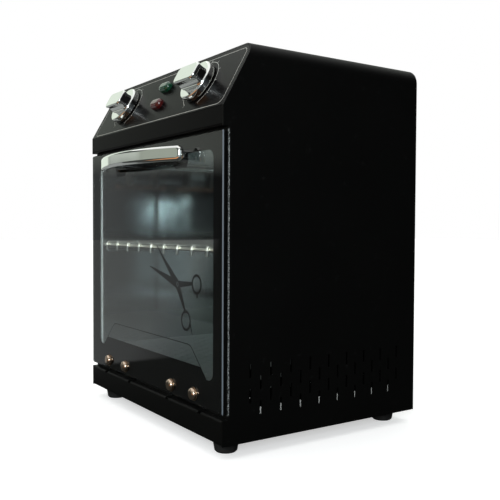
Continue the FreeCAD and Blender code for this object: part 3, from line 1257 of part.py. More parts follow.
def make_door():
    """A frameless glass pane, its bowed handle on two posts, and the screws that hold both."""
    body = new_body("door_glass")
    pane = Sketch(body, "XZ_Plane").box(minus(HALF), GLASS_LOW, HALF, GLASS_HIGH)
    grow(body, pane, "glass_thickness", backwards=True)
    soften(body, "glass_corner", lambda m, a, e: along_y(a))
    front, back = 0.0, number("glass_thickness")
    soften(body, "glass_edge", lambda m, a, e: near(m.y, front) or near(m.y, back), kind="Chamfer")
    holes = circles(Sketch(body, "XZ_Plane"), DOOR_SCREW_PLACES, "door_screw_shank / 2 + hole_clearance")
    circles(holes, HANDLE_SCREW_PLACES, "handle_screw / 2 + hole_clearance")
    cut(body, holes, "3 * glass_thickness", both=True)
    body = new_body("door_screws")
    stand = "(door_washer_thickness + 2 * nut_fit)"
    heads = circles(Sketch(body, "XZ_Plane", offset=stand), DOOR_SCREW_PLACES, "door_screw_head / 2")
    grow(body, heads, "door_screw_dome")
    far = number("-%s - door_screw_dome" % stand)
    soften(body, "door_screw_round", lambda m, a, e: near(m.y, far))
    shanks = circles(Sketch(body, "XZ_Plane", offset=stand), DOOR_SCREW_PLACES, "door_screw_shank / 2")
    grow(body, shanks, "%s + %s + door_nut_tall + sheet_metal" % (stand, PLATE_REAR), backwards=True)
    body = new_body("door_washers")
    rings = circles(Sketch(body, "XZ_Plane", offset="nut_fit"), DOOR_SCREW_PLACES, "door_washer / 2")
    circles(rings, DOOR_SCREW_PLACES, "door_screw_shank / 2 + hole_clearance")
    grow(body, rings, "door_washer_thickness")
    body = new_body("door_nuts")
    nuts = hexagons(Sketch(body, "XZ_Plane", offset="-(%s + nut_fit)" % PLATE_REAR), DOOR_SCREW_PLACES,
                    "door_nut_flats")
    circles(nuts, DOOR_SCREW_PLACES, "door_screw_shank / 2 + nut_fit")
    grow(body, nuts, "door_nut_tall", backwards=True)

    bend = "((handle_half^2 + handle_bow^2) / (2 * handle_bow))"
    middle_y = "(%s - handle_standoff - handle_bow)" % bend
    deep = number("handle_deep") + NEAR
    body = new_body("handle_bar")
    plan = Sketch(body, "XY_Plane", offset=HANDLE_Z)
    spread = math.degrees(math.asin(number("handle_half / %s" % bend)))
    arcs = []
    for side in (" + handle_deep / 2", " - handle_deep / 2"):
        arc = plan.arc("0", middle_y, bend + side, 270 - spread, 270 + spread)
        for point, sign in ((1, "-"), (2, "")):
            plan.tie_across(arc, point, "%shandle_half * (%s%s) / %s" % (sign, bend, side, bend))
        arcs.append(arc)
    for point in (1, 2):
        ends = [plan.sketch.getPoint(arc, point) for arc in arcs]
        line = plan.sketch.addGeometry(Part.LineSegment(ends[0], ends[1]), False)
        plan.meet(arcs[0], point, line, 1)
        plan.meet(line, 2, arcs[1], point)
    grow(body, plan, "handle_tall", both=True)
    end = number("handle_half * (%s - handle_deep / 2) / %s" % (bend, bend))
    soften(body, "handle_end_round", lambda m, a, e: not along_z(a) and abs(m.x) > end and e.Length < deep)
    soften(body, "handle_round", lambda m, a, e: True)
    for name, sign in (("handle_post_left", "-"), ("handle_post_right", "")):
        body = new_body(name)
        plan = Sketch(body, "XY_Plane", offset=HANDLE_Z)
        near_x = "%shandle_post_place - handle_post_wide / 2" % sign
        far_x = "%shandle_post_place + handle_post_wide / 2" % sign
        inner = "(%s - handle_deep / 2 - sheet_fit / 2)" % bend
        angles = [270 + math.degrees(math.asin(number("(%s) / %s" % (x, inner)))) for x in (near_x, far_x)]
        arc = plan.arc("0", middle_y, inner, angles[0], angles[1])
        ends = [plan.sketch.getPoint(arc, point) for point in (1, 2)]
        foot = plan.line((near_x, "-nut_fit"), (far_x, "-nut_fit"))
        sides = []
        for x, end in ((near_x, ends[0]), (far_x, ends[1])):
            start = FreeCAD.Vector(number(x), number("-nut_fit"), 0)
            sides.append(plan.sketch.addGeometry(Part.LineSegment(start, end), False))
            plan.sketch.addConstraint(Sketcher.Constraint("Vertical", sides[-1]))
        plan.tie(foot, 1, near_x, "-nut_fit")
        plan.tie(foot, 2, far_x, "-nut_fit")
        plan.meet(foot, 1, sides[0], 1)
        plan.meet(foot, 2, sides[1], 1)
        plan.meet(sides[0], 2, arc, 1)
        plan.meet(sides[1], 2, arc, 2)
        grow(body, plan, "handle_post_tall", both=True)
        soften(body, "handle_post_corner", lambda m, a, e: along_y(a))
        bore = Sketch(body, "XZ_Plane").circle("%shandle_post_place" % sign, HANDLE_Z, "handle_screw / 2 + nut_fit")
        cut(body, bore)
    body = new_body("handle_screws")
    heads = circles(Sketch(body, "XZ_Plane", offset="-(glass_thickness + nut_fit)"), HANDLE_SCREW_PLACES,
                    "handle_screw_head / 2")
    grow(body, heads, "handle_screw_head_tall", backwards=True)
    far = number("glass_thickness + nut_fit + handle_screw_head_tall")
    soften(body, "small_screw_round", lambda m, a, e: near(m.y, far))
    shanks = circles(Sketch(body, "XZ_Plane", offset="-(glass_thickness + nut_fit)"), HANDLE_SCREW_PLACES,
                     "handle_screw / 2")
    grow(body, shanks, "glass_thickness + handle_standoff + hole_clearance")


# The ear of a hinge curls back from its plate and down to the pin: along it, as shares of
# how high the plate stands over the pin, first the inner edge and then the outer one.
EAR_INNER_SHARES = [(0.24, 1.0), (0.46, 0.8), (0.5, 0.54), (0.27, 0.27), (0.0, 0.0)]
EAR_OUTER_SHARES = [(0.19, -0.33), (0.76, -0.06), (0.95, 0.43), (0.86, 1.05), (0.43, 1.34)]


def make_hinges():
    """Two brackets that carry the glass, their pins, and the mounts that stand inside the chin."""
    for name, sign in (("left", "-"), ("right", "")):
        left = "(%shinge_centre - hinge_half)" % sign
        right = "(%shinge_centre + hinge_half)" % sign
        low, high = HINGE_Z + " + hinge_plate_low", HINGE_Z + " + hinge_plate_high"
        screws = [p for p in DOOR_SCREW_PLACES if p[0].startswith("-") == (sign == "-")]
        body = new_body("hinge_pad_" + name)
        pad = Sketch(body, "XZ_Plane", offset="-(glass_thickness + nut_fit)").box(left, low, right, high)
        circles(pad, screws, "door_screw_shank / 2 + hole_clearance")
        grow(body, pad, "hinge_pad - 2 * nut_fit", backwards=True)
        body = new_body("hinge_bracket_" + name)
        plate = Sketch(body, "XZ_Plane", offset=minus(PLATE_FRONT)).box(left, low, right, high)
        grow(body, plate, "hinge_plate", backwards=True)
        for x in (left, right + " - hinge_plate"):
            points = [(PLATE_FRONT, HINGE_Z + " + hinge_plate_low")]
            points += [("%s + %s * hinge_plate_low" % (HINGE_Y, y), "%s + %s * hinge_plate_low" % (HINGE_Z, z))
                       for y, z in EAR_INNER_SHARES + EAR_OUTER_SHARES]
            points.append((PLATE_FRONT, "%s + %s * hinge_plate_low" % (HINGE_Z, EAR_OUTER_SHARES[-1][1])))
            grow(body, Sketch(body, "YZ_Plane", offset=x).outline(points), "hinge_plate")
            grow(body, Sketch(body, "YZ_Plane", offset=x).circle(HINGE_Y, HINGE_Z, "hinge_eye"), "hinge_plate")
        bore = Sketch(body, "YZ_Plane").circle(HINGE_Y, HINGE_Z, "hinge_pin / 2 + hinge_pin_fit")
        cut(body, bore)
        holes = circles(Sketch(body, "XZ_Plane", offset=minus(PLATE_FRONT)), screws,
                        "door_screw_shank / 2 + hole_clearance")
        cut(body, holes, "3 * hinge_plate", both=True)
        body = new_body("hinge_mount_" + name)
        inset = "hinge_plate + hinge_ear_gap"
        floor = "foot_height + sheet_metal + nut_fit"
        foot = Sketch(body, "XY_Plane", offset=floor)
        foot.box(left + " + " + inset, "hinge_mount_front", right + " - (" + inset + ")", "hinge_mount_rear")
        grow(body, foot, "hinge_plate")
        for x in (left + " + " + inset, right + " - (" + inset + ") - hinge_plate"):
            cheek = Sketch(body, "YZ_Plane", offset=x).outline([
                ("hinge_mount_front", floor), ("hinge_mount_rear", floor), ("hinge_mount_rear", floor + " + hinge_eye"),
                ("%s + hinge_mount_eye" % HINGE_Y, "%s + hinge_mount_eye / 2" % HINGE_Z),
                ("%s + hinge_mount_eye / 2" % HINGE_Y, "%s + hinge_mount_eye" % HINGE_Z),
                ("%s - hinge_mount_eye / 2" % HINGE_Y, "%s + hinge_mount_eye" % HINGE_Z),
                ("hinge_mount_front", "%s + hinge_mount_eye / 2" % HINGE_Z)])
            grow(body, cheek, "hinge_plate")
        cut(body, Sketch(body, "YZ_Plane").circle(HINGE_Y, HINGE_Z, "hinge_pin / 2 + hinge_pin_fit"))
        body = new_body("hinge_pin_" + name)
        rod = Sketch(body, "YZ_Plane", offset=left + " - hinge_pin_proud").circle(HINGE_Y, HINGE_Z, "hinge_pin / 2")
        grow(body, rod, "2 * hinge_half + 2 * hinge_pin_proud")


def check_and_write():
    """Make sure that everything came out sound, then write one file for each piece."""
    document.recompute()
    for thing in document.Objects:
        if "Invalid" in thing.State or "Error" in thing.State:
            raise RuntimeError("%s did not come out: %s" % (thing.Name, thing.State))
    for body in BODIES:
        if body.Shape.isNull() or not body.Shape.isValid():
            raise RuntimeError("%s has no sound shape" % body.Label)
    os.makedirs("parts", exist_ok=True)
    for body in BODIES:
        body.Shape.exportStep("parts/%s.step" % body.Label)
        print(body.Label, len(body.Shape.Solids), round(body.Shape.Volume), len(body.Shape.Faces))


make_outer_casing()
make_base_pan()
make_control_panel()
make_rear_panel()
make_face_frame()
make_chamber_liner()
make_chamber_back()
make_floor_grille()
make_insulation()
make_heater()
make_shelf()
make_controls()
make_lamps()
make_sensing_tube()
make_electrics()
make_feet_and_screws()
make_door()
make_hinges()
check_and_write()
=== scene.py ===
import math

import bpy
from mathutils import Matrix, Vector


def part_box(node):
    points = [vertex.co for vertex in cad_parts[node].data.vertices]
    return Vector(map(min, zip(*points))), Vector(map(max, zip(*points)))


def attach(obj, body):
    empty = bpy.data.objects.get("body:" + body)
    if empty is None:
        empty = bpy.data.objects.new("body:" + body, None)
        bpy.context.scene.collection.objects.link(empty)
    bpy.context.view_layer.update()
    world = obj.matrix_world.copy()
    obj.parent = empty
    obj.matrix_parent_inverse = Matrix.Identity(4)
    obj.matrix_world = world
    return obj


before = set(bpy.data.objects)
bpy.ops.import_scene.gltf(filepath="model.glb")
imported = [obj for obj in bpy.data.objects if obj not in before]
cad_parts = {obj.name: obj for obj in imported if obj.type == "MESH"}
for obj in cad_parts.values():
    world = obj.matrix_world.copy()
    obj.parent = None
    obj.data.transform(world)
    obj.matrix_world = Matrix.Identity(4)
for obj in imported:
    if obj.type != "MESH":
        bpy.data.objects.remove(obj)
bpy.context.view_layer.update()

# The view. The cabinet stands on a pale bench and is seen from its right front corner,
# almost level with the middle of its side, as the photograph shows it.
EYE = Vector((0.56448, -0.36157, 0.17420))
TURN_LEFT = math.radians(55.89)
TILT_UP = math.radians(-1.87)
ROLL = math.radians(0.25)
LENS_MM = 50.63
SENSOR_MM = 36.0
NEAREST = 0.01
scene = bpy.context.scene
lens = bpy.data.cameras.new("camera")
lens.lens = LENS_MM
lens.sensor_width = SENSOR_MM
lens.clip_start = NEAREST
camera = bpy.data.objects.new("camera", lens)
aimed = Matrix.Rotation(TURN_LEFT, 4, "Z") @ Matrix.Rotation(math.pi / 2 + TILT_UP, 4, "X")
camera.matrix_world = Matrix.Translation(EYE) @ aimed @ Matrix.Rotation(ROLL, 4, "Z")
scene.collection.objects.link(camera)
scene.camera = camera
scene.view_settings.view_transform = "Standard"


# The bench. A white seamless sheet of paper that glows a little of itself. Only the camera sees
# it so. The chrome, the glass and the steel mirror it dark, with one warm patch in front and two
# pale ones, painted glow that the bench gives off only to reflections.
class Signal:
    """A number, colour or direction that changes over a surface, and the sums done with it."""

    def __init__(self, finish, socket):
        self.finish = finish
        self.socket = socket

    def __add__(self, other):
        return self.finish.sum("ADD", self, other)

    def __sub__(self, other):
        return self.finish.sum("SUBTRACT", self, other)

    def __rsub__(self, other):
        return self.finish.sum("SUBTRACT", other, self)

    def __mul__(self, other):
        return self.finish.sum("MULTIPLY", self, other)

    def __truediv__(self, other):
        return self.finish.sum("DIVIDE", self, other)

    def __abs__(self):
        return self.finish.sum("ABSOLUTE", self)

    def __or__(self, other):
        return self.finish.sum("MAXIMUM", self, other)

    def __and__(self, other):
        return self.finish.sum("MINIMUM", self, other)

    def __gt__(self, other):
        return self.finish.sum("GREATER_THAN", self, other)

    def __lt__(self, other):
        return self.finish.sum("LESS_THAN", self, other)

    __radd__ = __add__
    __rmul__ = __mul__

    def root(self):
        return self.finish.sum("SQRT", self)

    def held(self):
        """Kept between 0 and 1."""
        return self.finish.node("ShaderNodeClamp", {}, {"Value": self})

    def inside(self, blur):
        """1 where a distance is below nothing, 0 where it is above, with a soft step between."""
        return (0.5 - self / blur).held()


class Finish:
    """One material, or the room's light, built up node by node."""

    def __init__(self, name, library=bpy.data.materials, place="Object"):
        self.made = library.new(name)
        self.made.use_nodes = True
        self.tree = self.made.node_tree
        self.tree.nodes.clear()
        self.place = self.node("ShaderNodeTexCoord", {}, {}, place)
        self.x, self.y, self.z = self.node("ShaderNodeSeparateXYZ", {}, {"Vector": self.place}, None)

    def node(self, kind, settings, values, output=0):
        """Add a node: its settings first, then the value or link of each socket."""
        made = self.tree.nodes.new(kind)
        for name, setting in settings.items():
            setattr(made, name, setting)
        for name, value in values.items():
            if isinstance(value, Signal):
                self.tree.links.new(value.socket, made.inputs[name])
            else:
                made.inputs[name].default_value = value
        if output is None:
            return [Signal(self, socket) for socket in made.outputs]
        return Signal(self, made.outputs[output])

    def sum(self, operation, *values):
        return self.node("ShaderNodeMath", {"operation": operation}, dict(enumerate(values)))

    def between(self, value, low, high, blur):
        """1 where a value lies between two others, with a soft step at each."""
        return (low - value).inside(blur) * (value - high).inside(blur)

    def noise(self, scale, detail=4.0, roughness=0.55, stretch=None):
        """Cloudy noise, a number about 0.5, so many cells to the metre."""
        place = self.place
        if stretch:
            place = self.node("ShaderNodeMapping", {}, {"Vector": place, "Scale": stretch})
        return self.node("ShaderNodeTexNoise", {}, {
            "Vector": place, "Scale": scale, "Detail": detail, "Roughness": roughness})

    def blend(self, factor, first, second):
        """A colour between two colours."""
        return self.node("ShaderNodeMix", {"data_type": "RGBA"}, {0: factor, 6: first, 7: second}, 2)

    def bump(self, height, strength, distance):
        return self.node("ShaderNodeBump", {}, {
            "Height": height, "Strength": strength, "Distance": distance})

    def surface(self, **values):
        """A Principled shader, its sockets named by words joined with underscores."""
        named = {name.replace("_", " "): value for name, value in values.items()}
        return self.node("ShaderNodeBsdfPrincipled", {}, named)

    def either(self, factor, first, second):
        """The first shader where the factor is 0, the second where it is 1."""
        return self.node("ShaderNodeMixShader", {}, {0: factor, 1: first, 2: second})

    def seen_by(self, rays):
        """1 for one kind of ray and 0 for all others."""
        return self.node("ShaderNodeLightPath", {}, {}, rays)

    def done(self, shader, output="ShaderNodeOutputMaterial"):
        self.node(output, {}, {"Surface": shader}, None)
        return self.made


def rgb(red, green, blue):
    return (red, green, blue, 1.0)


BENCH_SIZE = 16.0
PAPER_GRAIN = 900.0
PAPER_ROUGH = 0.9
PAPER_GLOW = 0.52
WARM_ACROSS = (-0.26, 0.38)
WARM_ALONG = (-1.40, -0.42)
WARM_BLUR = 0.08
LEFT_PATCH_EDGE = -0.27
LEFT_PATCH_EDGE_BLUR = 0.02
LEFT_PATCH_SLANT = 0.62
LEFT_PATCH_FRONT = -0.08
LEFT_PATCH_FRONT_BLUR = 0.12
RIGHT_PATCH_REAR = -0.16
RIGHT_PATCH_REAR_BLUR = 0.06
RIGHT_PATCH_EDGE = 0.42
RIGHT_PATCH_EDGE_BLUR = 0.08
bpy.ops.object.select_all(action="DESELECT")
bpy.ops.mesh.primitive_plane_add(size=BENCH_SIZE, location=(0.0, 0.0, 0.0))
bench = bpy.context.object
bench.name = "bench"
paper = Finish("bench_paper")
grain = paper.noise(PAPER_GRAIN)
lit = paper.surface(
    Base_Color=paper.blend(grain, rgb(0.90, 0.90, 0.90), rgb(0.94, 0.94, 0.94)), Roughness=PAPER_ROUGH,
    Specular_IOR_Level=0.0, Emission_Color=rgb(1.0, 1.0, 1.0), Emission_Strength=PAPER_GLOW)
warm_patch = paper.between(paper.y, *WARM_ALONG, WARM_BLUR) * paper.between(paper.x, *WARM_ACROSS, WARM_BLUR)
slanted_front = LEFT_PATCH_SLANT * paper.x + LEFT_PATCH_FRONT
left_patch = (paper.x - LEFT_PATCH_EDGE).inside(LEFT_PATCH_EDGE_BLUR)
left_patch = left_patch * (slanted_front - paper.y).inside(LEFT_PATCH_FRONT_BLUR)
right_patch = (paper.y - RIGHT_PATCH_REAR).inside(RIGHT_PATCH_REAR_BLUR)
right_patch = right_patch * (RIGHT_PATCH_EDGE - paper.x).inside(RIGHT_PATCH_EDGE_BLUR)
# The three patches are painted glow: light that the bench gives off only to reflections.
reflected_glow = paper.blend(left_patch, rgb(0.0, 0.0, 0.0), rgb(0.25, 0.26, 0.26))
reflected_glow = paper.blend(right_patch, reflected_glow, rgb(0.34, 0.38, 0.41))
reflected_glow = paper.blend(warm_patch, reflected_glow, rgb(0.70, 0.28, 0.09))
dim = paper.surface(
    Base_Color=paper.blend(grain, rgb(0.050, 0.052, 0.050), rgb(0.060, 0.062, 0.060)),
    Roughness=PAPER_ROUGH, Specular_IOR_Level=0.0, Emission_Color=reflected_glow, Emission_Strength=1.0)
bench.data.materials.append(paper.done(paper.either(paper.seen_by("Is Camera Ray"), dim, lit)))

# The room. A dark studio with tall soft windows at the left, in front and beside the camera, and
# a weak one overhead, white only where the camera looks past the cabinet.
# Headings run in degrees from the left, 0, to the front, 90. A height is a sine, 0 when level.
WINDOWS = (
    ((-88.0, 11.0), 6.0, (-0.02, 0.66), 0.10, rgb(0.80, 0.88, 0.78)),
    ((11.0, 27.0), 8.0, (-0.14, 0.16), 0.08, rgb(0.20, 0.21, 0.21)),
    ((11.0, 52.0), 6.0, (0.085, 0.24), 0.03, rgb(0.50, 0.54, 0.49)),
    ((49.0, 83.0), 8.0, (-0.02, 0.50), 0.12, rgb(0.34, 0.37, 0.32)),
    ((112.0, 148.5), 4.0, (-0.16, 0.44), 0.30, rgb(0.80, 0.86, 0.78)),
    ((151.0, 176.0), 8.0, (-0.16, 0.36), 0.30, rgb(0.40, 0.46, 0.50)),
    ((-180.0, 180.0), 1.0, (0.90, 1.10), 0.08, rgb(0.15, 0.17, 0.15)),
)
room = Finish("studio", bpy.data.worlds, "Generated")
heading = room.sum("ARCTAN2", room.y * -1.0, room.x * -1.0) * math.degrees(1.0)
light = rgb(0.026, 0.028, 0.030)
for headings, heading_blur, heights, height_blur, colour in WINDOWS:
    pane_seen = room.between(heading, *headings, heading_blur) * room.between(room.z, *heights, height_blur)
    light = room.blend(pane_seen, light, colour)
around = room.node("ShaderNodeBackground", {}, {"Color": light})
behind = room.node("ShaderNodeBackground", {}, {"Color": rgb(1.0, 1.0, 1.0)})
scene.world = room.done(room.either(room.seen_by("Is Camera Ray"), around, behind), "ShaderNodeOutputWorld")


# The studio's lamps. A wide soft sky lights the top and the bench, a square lamp in front lights the door,
# and a narrow one beside the camera draws the bright streaks in the corner of the chamber.
def soft_lamp(name, place, aim, width, height, power, tint):
    lamp = bpy.data.lights.new(name, "AREA")
    lamp.shape = "RECTANGLE"
    lamp.size = width
    lamp.size_y = height
    lamp.energy = power
    lamp.color = tint
    holder = bpy.data.objects.new(name, lamp)
    holder.location = place
    holder.rotation_euler = (Vector(aim) - Vector(place)).to_track_quat("-Z", "Y").to_euler()
    scene.collection.objects.link(holder)


SKY_POWER = 1.7
SKY_SPREAD = math.radians(100.0)
SKY_LEAN = (math.radians(8.0), math.radians(-6.0), 0.0)
sky = bpy.data.lights.new("lamp_sky", "SUN")
sky.energy = SKY_POWER
sky.angle = SKY_SPREAD
sky_holder = bpy.data.objects.new("lamp_sky", sky)
sky_holder.rotation_euler = SKY_LEAN
scene.collection.objects.link(sky_holder)
soft_lamp("lamp_front", place=(0.86, -0.72, 0.42), aim=(0.0, 0.0, 0.12), width=0.30, height=0.30,
          power=5.0, tint=(0.92, 0.97, 1.0))
soft_lamp("lamp_beside_eye", place=(0.605, -0.392, 0.225), aim=(-0.112, 0.09, 0.2), width=0.016, height=0.07,
          power=0.13, tint=(0.90, 0.96, 1.0))


# The casing, base pan, rear panel and face frame. Folded steel sheet, screwed together, with a fine
# black powder coat baked on: a matt grain, a little paler where an edge is rubbed. The steel is
# bare round the face frame's opening, and pale specks run down the casing's front edge over the pane's
# height.
def dress(material, *names):
    """Give CAD nodes their finish."""
    for name in names:
        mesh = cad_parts[name].data
        mesh.materials.clear()
        mesh.materials.append(material)
        for face in mesh.polygons:
            face.material_index = 0


casing_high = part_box("outer_casing")[1]
glass_low, glass_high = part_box("door_glass")
CASING_HALF = casing_high.x
POWDER_GRAIN = 2600.0
ORANGE_PEEL = 700.0
RUBBED_SIDE = 0.0006
RUBBED_TOP = 0.0002
RUBBED_PER_METRE = 2000.0
RUB_SCALE = 160.0
RUB_START = 0.62
RUB_GAIN = 6.0
RUB_MOST = 0.35
OPENING_HALF = 0.11165
OPENING_EDGE_FRONT = -0.0841
OPENING_EDGE_REAR = -0.0700
OPENING_FOOT = 0.0306
CUT_EDGE_THICK = 0.0016
CUT_EDGE_ALONG = (-0.0853, -0.0835)
CUT_EDGE_BLUR = 0.0002
CUT_EDGE_FADE = 0.002
SPECK_SCALE = 1500.0
SPECK_GAIN = 4.0
SPECK_START = 1.7
coat = Finish("black_powder_coat")
grain = coat.noise(POWDER_GRAIN, detail=2.0)
orange_peel = coat.noise(ORANGE_PEEL, detail=3.0)
cloud = coat.noise(14.0, detail=5.0)
rub = (coat.noise(RUB_SCALE, detail=6.0, roughness=0.7) - RUB_START) * RUB_GAIN
corner = (abs(coat.x) - (CASING_HALF - RUBBED_SIDE)) | (coat.z - (casing_high.z - RUBBED_TOP))
worn = (rub.held() * (corner * RUBBED_PER_METRE).held()).held()
bare = (abs(coat.x) < OPENING_HALF) * (coat.y > OPENING_EDGE_FRONT) * (coat.y < OPENING_EDGE_REAR)
bare = bare * (coat.z > OPENING_FOOT)
cut_edge = (abs(coat.x) > CASING_HALF - CUT_EDGE_THICK) * coat.between(coat.y, *CUT_EDGE_ALONG, CUT_EDGE_BLUR)
cut_edge = cut_edge * coat.between(coat.z, glass_low.z, glass_high.z, CUT_EDGE_FADE)
speckled = cut_edge * (coat.noise(SPECK_SCALE, detail=1.0) * SPECK_GAIN - SPECK_START).held()
black = coat.blend(cloud, rgb(0.0013, 0.0013, 0.0012), rgb(0.0024, 0.0024, 0.0022))
black = coat.blend(worn * RUB_MOST, black, rgb(0.03, 0.03, 0.03))
powder_coat = coat.done(coat.surface(
    Base_Color=coat.blend(bare | speckled, black, rgb(0.62, 0.66, 0.66)), Metallic=bare,
    Roughness=(0.40 + 0.10 * cloud + 0.10 * grain - 0.22 * bare).held(), Specular_IOR_Level=0.15,
    Normal=coat.bump(grain + 0.8 * orange_peel, strength=0.35, distance=0.00012)))
dress(powder_coat, "outer_casing", "base_pan", "rear_panel", "face_frame")


# The control panel. The same folded sheet with a smoother black enamel, screen printed in white
# with a thin border and a scale about each knob. It hangs under the casing's front edge.
def rounded(beside, over, corner):
    """Distance to a rectangle with round corners, with both ways out measured from their middles."""
    beside_past = beside | 0.0
    over_past = over | 0.0
    return (beside_past * beside_past + over_past * over_past).root() + ((beside | over) & 0.0) - corner


panel_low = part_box("control_panel")[0]
FOREHEAD = 0.0153
SLOPE_RUN = 0.0285
SLOPE_RISE = 0.0509
SLOPE_LONG = math.hypot(SLOPE_RUN, SLOPE_RISE)
SLOPE_START = 0.0005
SLOPE_SKIN = 0.0004
BORDER_SIDE = 0.0055
BORDER_LOW = 0.0022
BORDER_HIGH = 0.0050
BORDER_CORNER = 0.0060
BORDER_LINE = 0.00042
LINE_BLUR = 0.00015
KNOB_X = 0.070
KNOB_UP = 0.0288
SCALE_RADIUS = 0.0215
SCALE_LINE = 0.00040
SCALE_SWEEP = math.radians(150.0)
TICKS = 12
TICK_HALF_LONG = 0.0012
TICK_HALF_WIDE = 0.00022
enamel = Finish("black_enamel")
back = enamel.y - panel_low.y
above = enamel.z - (panel_low.z + FOREHEAD)
up = back * (SLOPE_RUN / SLOPE_LONG) + above * (SLOPE_RISE / SLOPE_LONG)
out = above * (SLOPE_RUN / SLOPE_LONG) - back * (SLOPE_RISE / SLOPE_LONG)
on_slope = (up > SLOPE_START) * (out > -SLOPE_SKIN)
middle_up = (BORDER_LOW + SLOPE_LONG - BORDER_HIGH) / 2
half_up = (SLOPE_LONG - BORDER_HIGH - BORDER_LOW) / 2 - BORDER_CORNER
half_wide = CASING_HALF - BORDER_SIDE - BORDER_CORNER
border = rounded(abs(enamel.x) - half_wide, abs(up - middle_up) - half_up, BORDER_CORNER)
border = (abs(border) - BORDER_LINE / 2).inside(LINE_BLUR)
across = abs(enamel.x) - KNOB_X
risen = up - KNOB_UP
from_scale = (across * across + risen * risen).root() - SCALE_RADIUS
ring = (abs(from_scale) - SCALE_LINE / 2).inside(LINE_BLUR)
bearing = enamel.sum("ARCTAN2", enamel.sum("SIGN", enamel.x) * across, risen)
tick_turn = enamel.sum("PINGPONG", bearing, math.pi / TICKS)
tick_reach = (abs(from_scale - TICK_HALF_LONG) - TICK_HALF_LONG).inside(LINE_BLUR)
ticks = (tick_turn * SCALE_RADIUS - TICK_HALF_WIDE).inside(LINE_BLUR) * tick_reach
white = (border | (ring | ticks) * (abs(bearing) < SCALE_SWEEP)) * on_slope
grain = enamel.noise(2200.0, detail=2.0)
peel = enamel.noise(420.0, detail=3.0)
cloud = enamel.noise(18.0, detail=5.0)
black = enamel.blend(cloud, rgb(0.0020, 0.0018, 0.0019), rgb(0.0040, 0.0036, 0.0038))
dress(enamel.done(enamel.surface(
    Base_Color=enamel.blend(white, black, rgb(0.62, 0.62, 0.58)),
    Roughness=(0.15 + 0.06 * cloud + 0.09 * grain + 0.3 * white).held(), Specular_IOR_Level=0.035,
    Normal=enamel.bump(grain * 0.5 + peel, strength=0.30, distance=0.0001))), "control_panel")

# The door's pane: toughened glass, screwed to its hinge brackets. It is printed on its back in
# black round a clear window, with an outline in front of the tray and a pair of scissors, and its
# ground side edges are dull, with a pale bevel in front.
WINDOW_HALF = 0.110
WINDOW_LOW = 0.0564
WINDOW_HIGH = 0.2328
WINDOW_CORNER = 0.0070
SLANT_TOP_X, SLANT_TOP_Z = 0.0750, 0.0800
SLANT_FOOT_X, SLANT_FOOT_Z = 0.0975, 0.0590
SLANT_LONG = math.hypot(SLANT_FOOT_X - SLANT_TOP_X, SLANT_FOOT_Z - SLANT_TOP_Z)
APRON_TOP = 0.0648
OUTLINE = 0.0007
OUTLINE_CORNER = 0.004
CROWN_HALF = 0.0540
CROWN_LOW = 0.2253
TAB_X = 0.0590
TAB_HALF = 0.0120
TAB_LOW = 0.2218
TAB_BEVEL_ACROSS = 0.8
TAB_BEVEL_DOWN = 0.6
TAB_BEVEL = 0.0075
pane = Finish("door_glass")
side = abs(pane.x)
half_tall = (WINDOW_HIGH - WINDOW_LOW) / 2 - WINDOW_CORNER
window_edge = rounded(side - (WINDOW_HALF - WINDOW_CORNER),
                      abs(pane.z - (WINDOW_HIGH + WINDOW_LOW) / 2) - half_tall, WINDOW_CORNER)
slant = (side - SLANT_TOP_X) * ((SLANT_TOP_Z - SLANT_FOOT_Z) / SLANT_LONG)
slant = slant + (pane.z - SLANT_TOP_Z) * ((SLANT_FOOT_X - SLANT_TOP_X) / SLANT_LONG)
apron = (pane.z - APRON_TOP) | slant
outline = pane.node("ShaderNodeMath", {"operation": "SMOOTH_MAX"},
                    {0: pane.z - SLANT_TOP_Z, 1: slant, 2: OUTLINE_CORNER})
outline = abs(outline) - OUTLINE / 2
crown = (side - CROWN_HALF) | (CROWN_LOW - pane.z)
from_tab = abs(side - TAB_X)
below_tab = TAB_LOW - pane.z
tab = (from_tab - TAB_HALF) | below_tab
tab = tab | (from_tab * TAB_BEVEL_ACROSS + below_tab * TAB_BEVEL_DOWN - TAB_BEVEL)
# The print is black outside the window, over an apron at its foot, along the outline, and behind
# the handle and its posts.
black = (window_edge * -1.0) & apron & outline & crown & tab


def bar(foot, tip, foot_half, tip_half):
    """Distance to a straight bar on the pane that narrows from its foot to its tip."""
    run = (tip[0] - foot[0], tip[1] - foot[1])
    x = pane.x - foot[0]
    z = pane.z - foot[1]
    along = ((x * run[0] + z * run[1]) / (run[0] ** 2 + run[1] ** 2)).held()
    x = x - along * run[0]
    z = z - along * run[1]
    return (x * x + z * z).root() - foot_half + along * (foot_half - tip_half)


def loop(middle, half_wide, half_tall, half_line):
    """Distance to an oval ring on the pane."""
    x = (pane.x - middle[0]) / half_wide
    z = (pane.z - middle[1]) / half_tall
    return abs((x * x + z * z).root() - 1.0) * min(half_wide, half_tall) - half_line


PIVOT = (0.0534, 0.1270)
PIN_RADIUS = 0.0016
PIN_LINE = 0.0003
BLADE_TIPS = ((0.0165, 0.1575), (0.0030, 0.1395))
BLADE_HALF = 0.0036
POINT_HALF = 0.0004
RING_LINE = 0.0010
UPPER_RING = (0.0850, 0.1290)
UPPER_RING_HALF = (0.0068, 0.0070)
LOWER_RING = (0.0678, 0.0985)
LOWER_RING_HALF = (0.0070, 0.0074)
UPPER_SHANK_END = (UPPER_RING[0] - 0.0072, UPPER_RING[1])
LOWER_SHANK_END = (LOWER_RING[0] - 0.0010, LOWER_RING[1] + 0.0070)
UPPER_SHANK_HALF = 0.0030
LOWER_SHANK_HALF = 0.0034
SHANK_END_HALF = 0.0013
REST_FOOT = (LOWER_RING[0] + 0.0068, LOWER_RING[1] - 0.0015)
REST_TIP = (LOWER_RING[0] + 0.0105, LOWER_RING[1] - 0.0100)
REST_FOOT_HALF = 0.0010
REST_TIP_HALF = 0.0005
STOP_FOOT = (UPPER_RING[0] + 0.0006, UPPER_RING[1] - 0.0075)
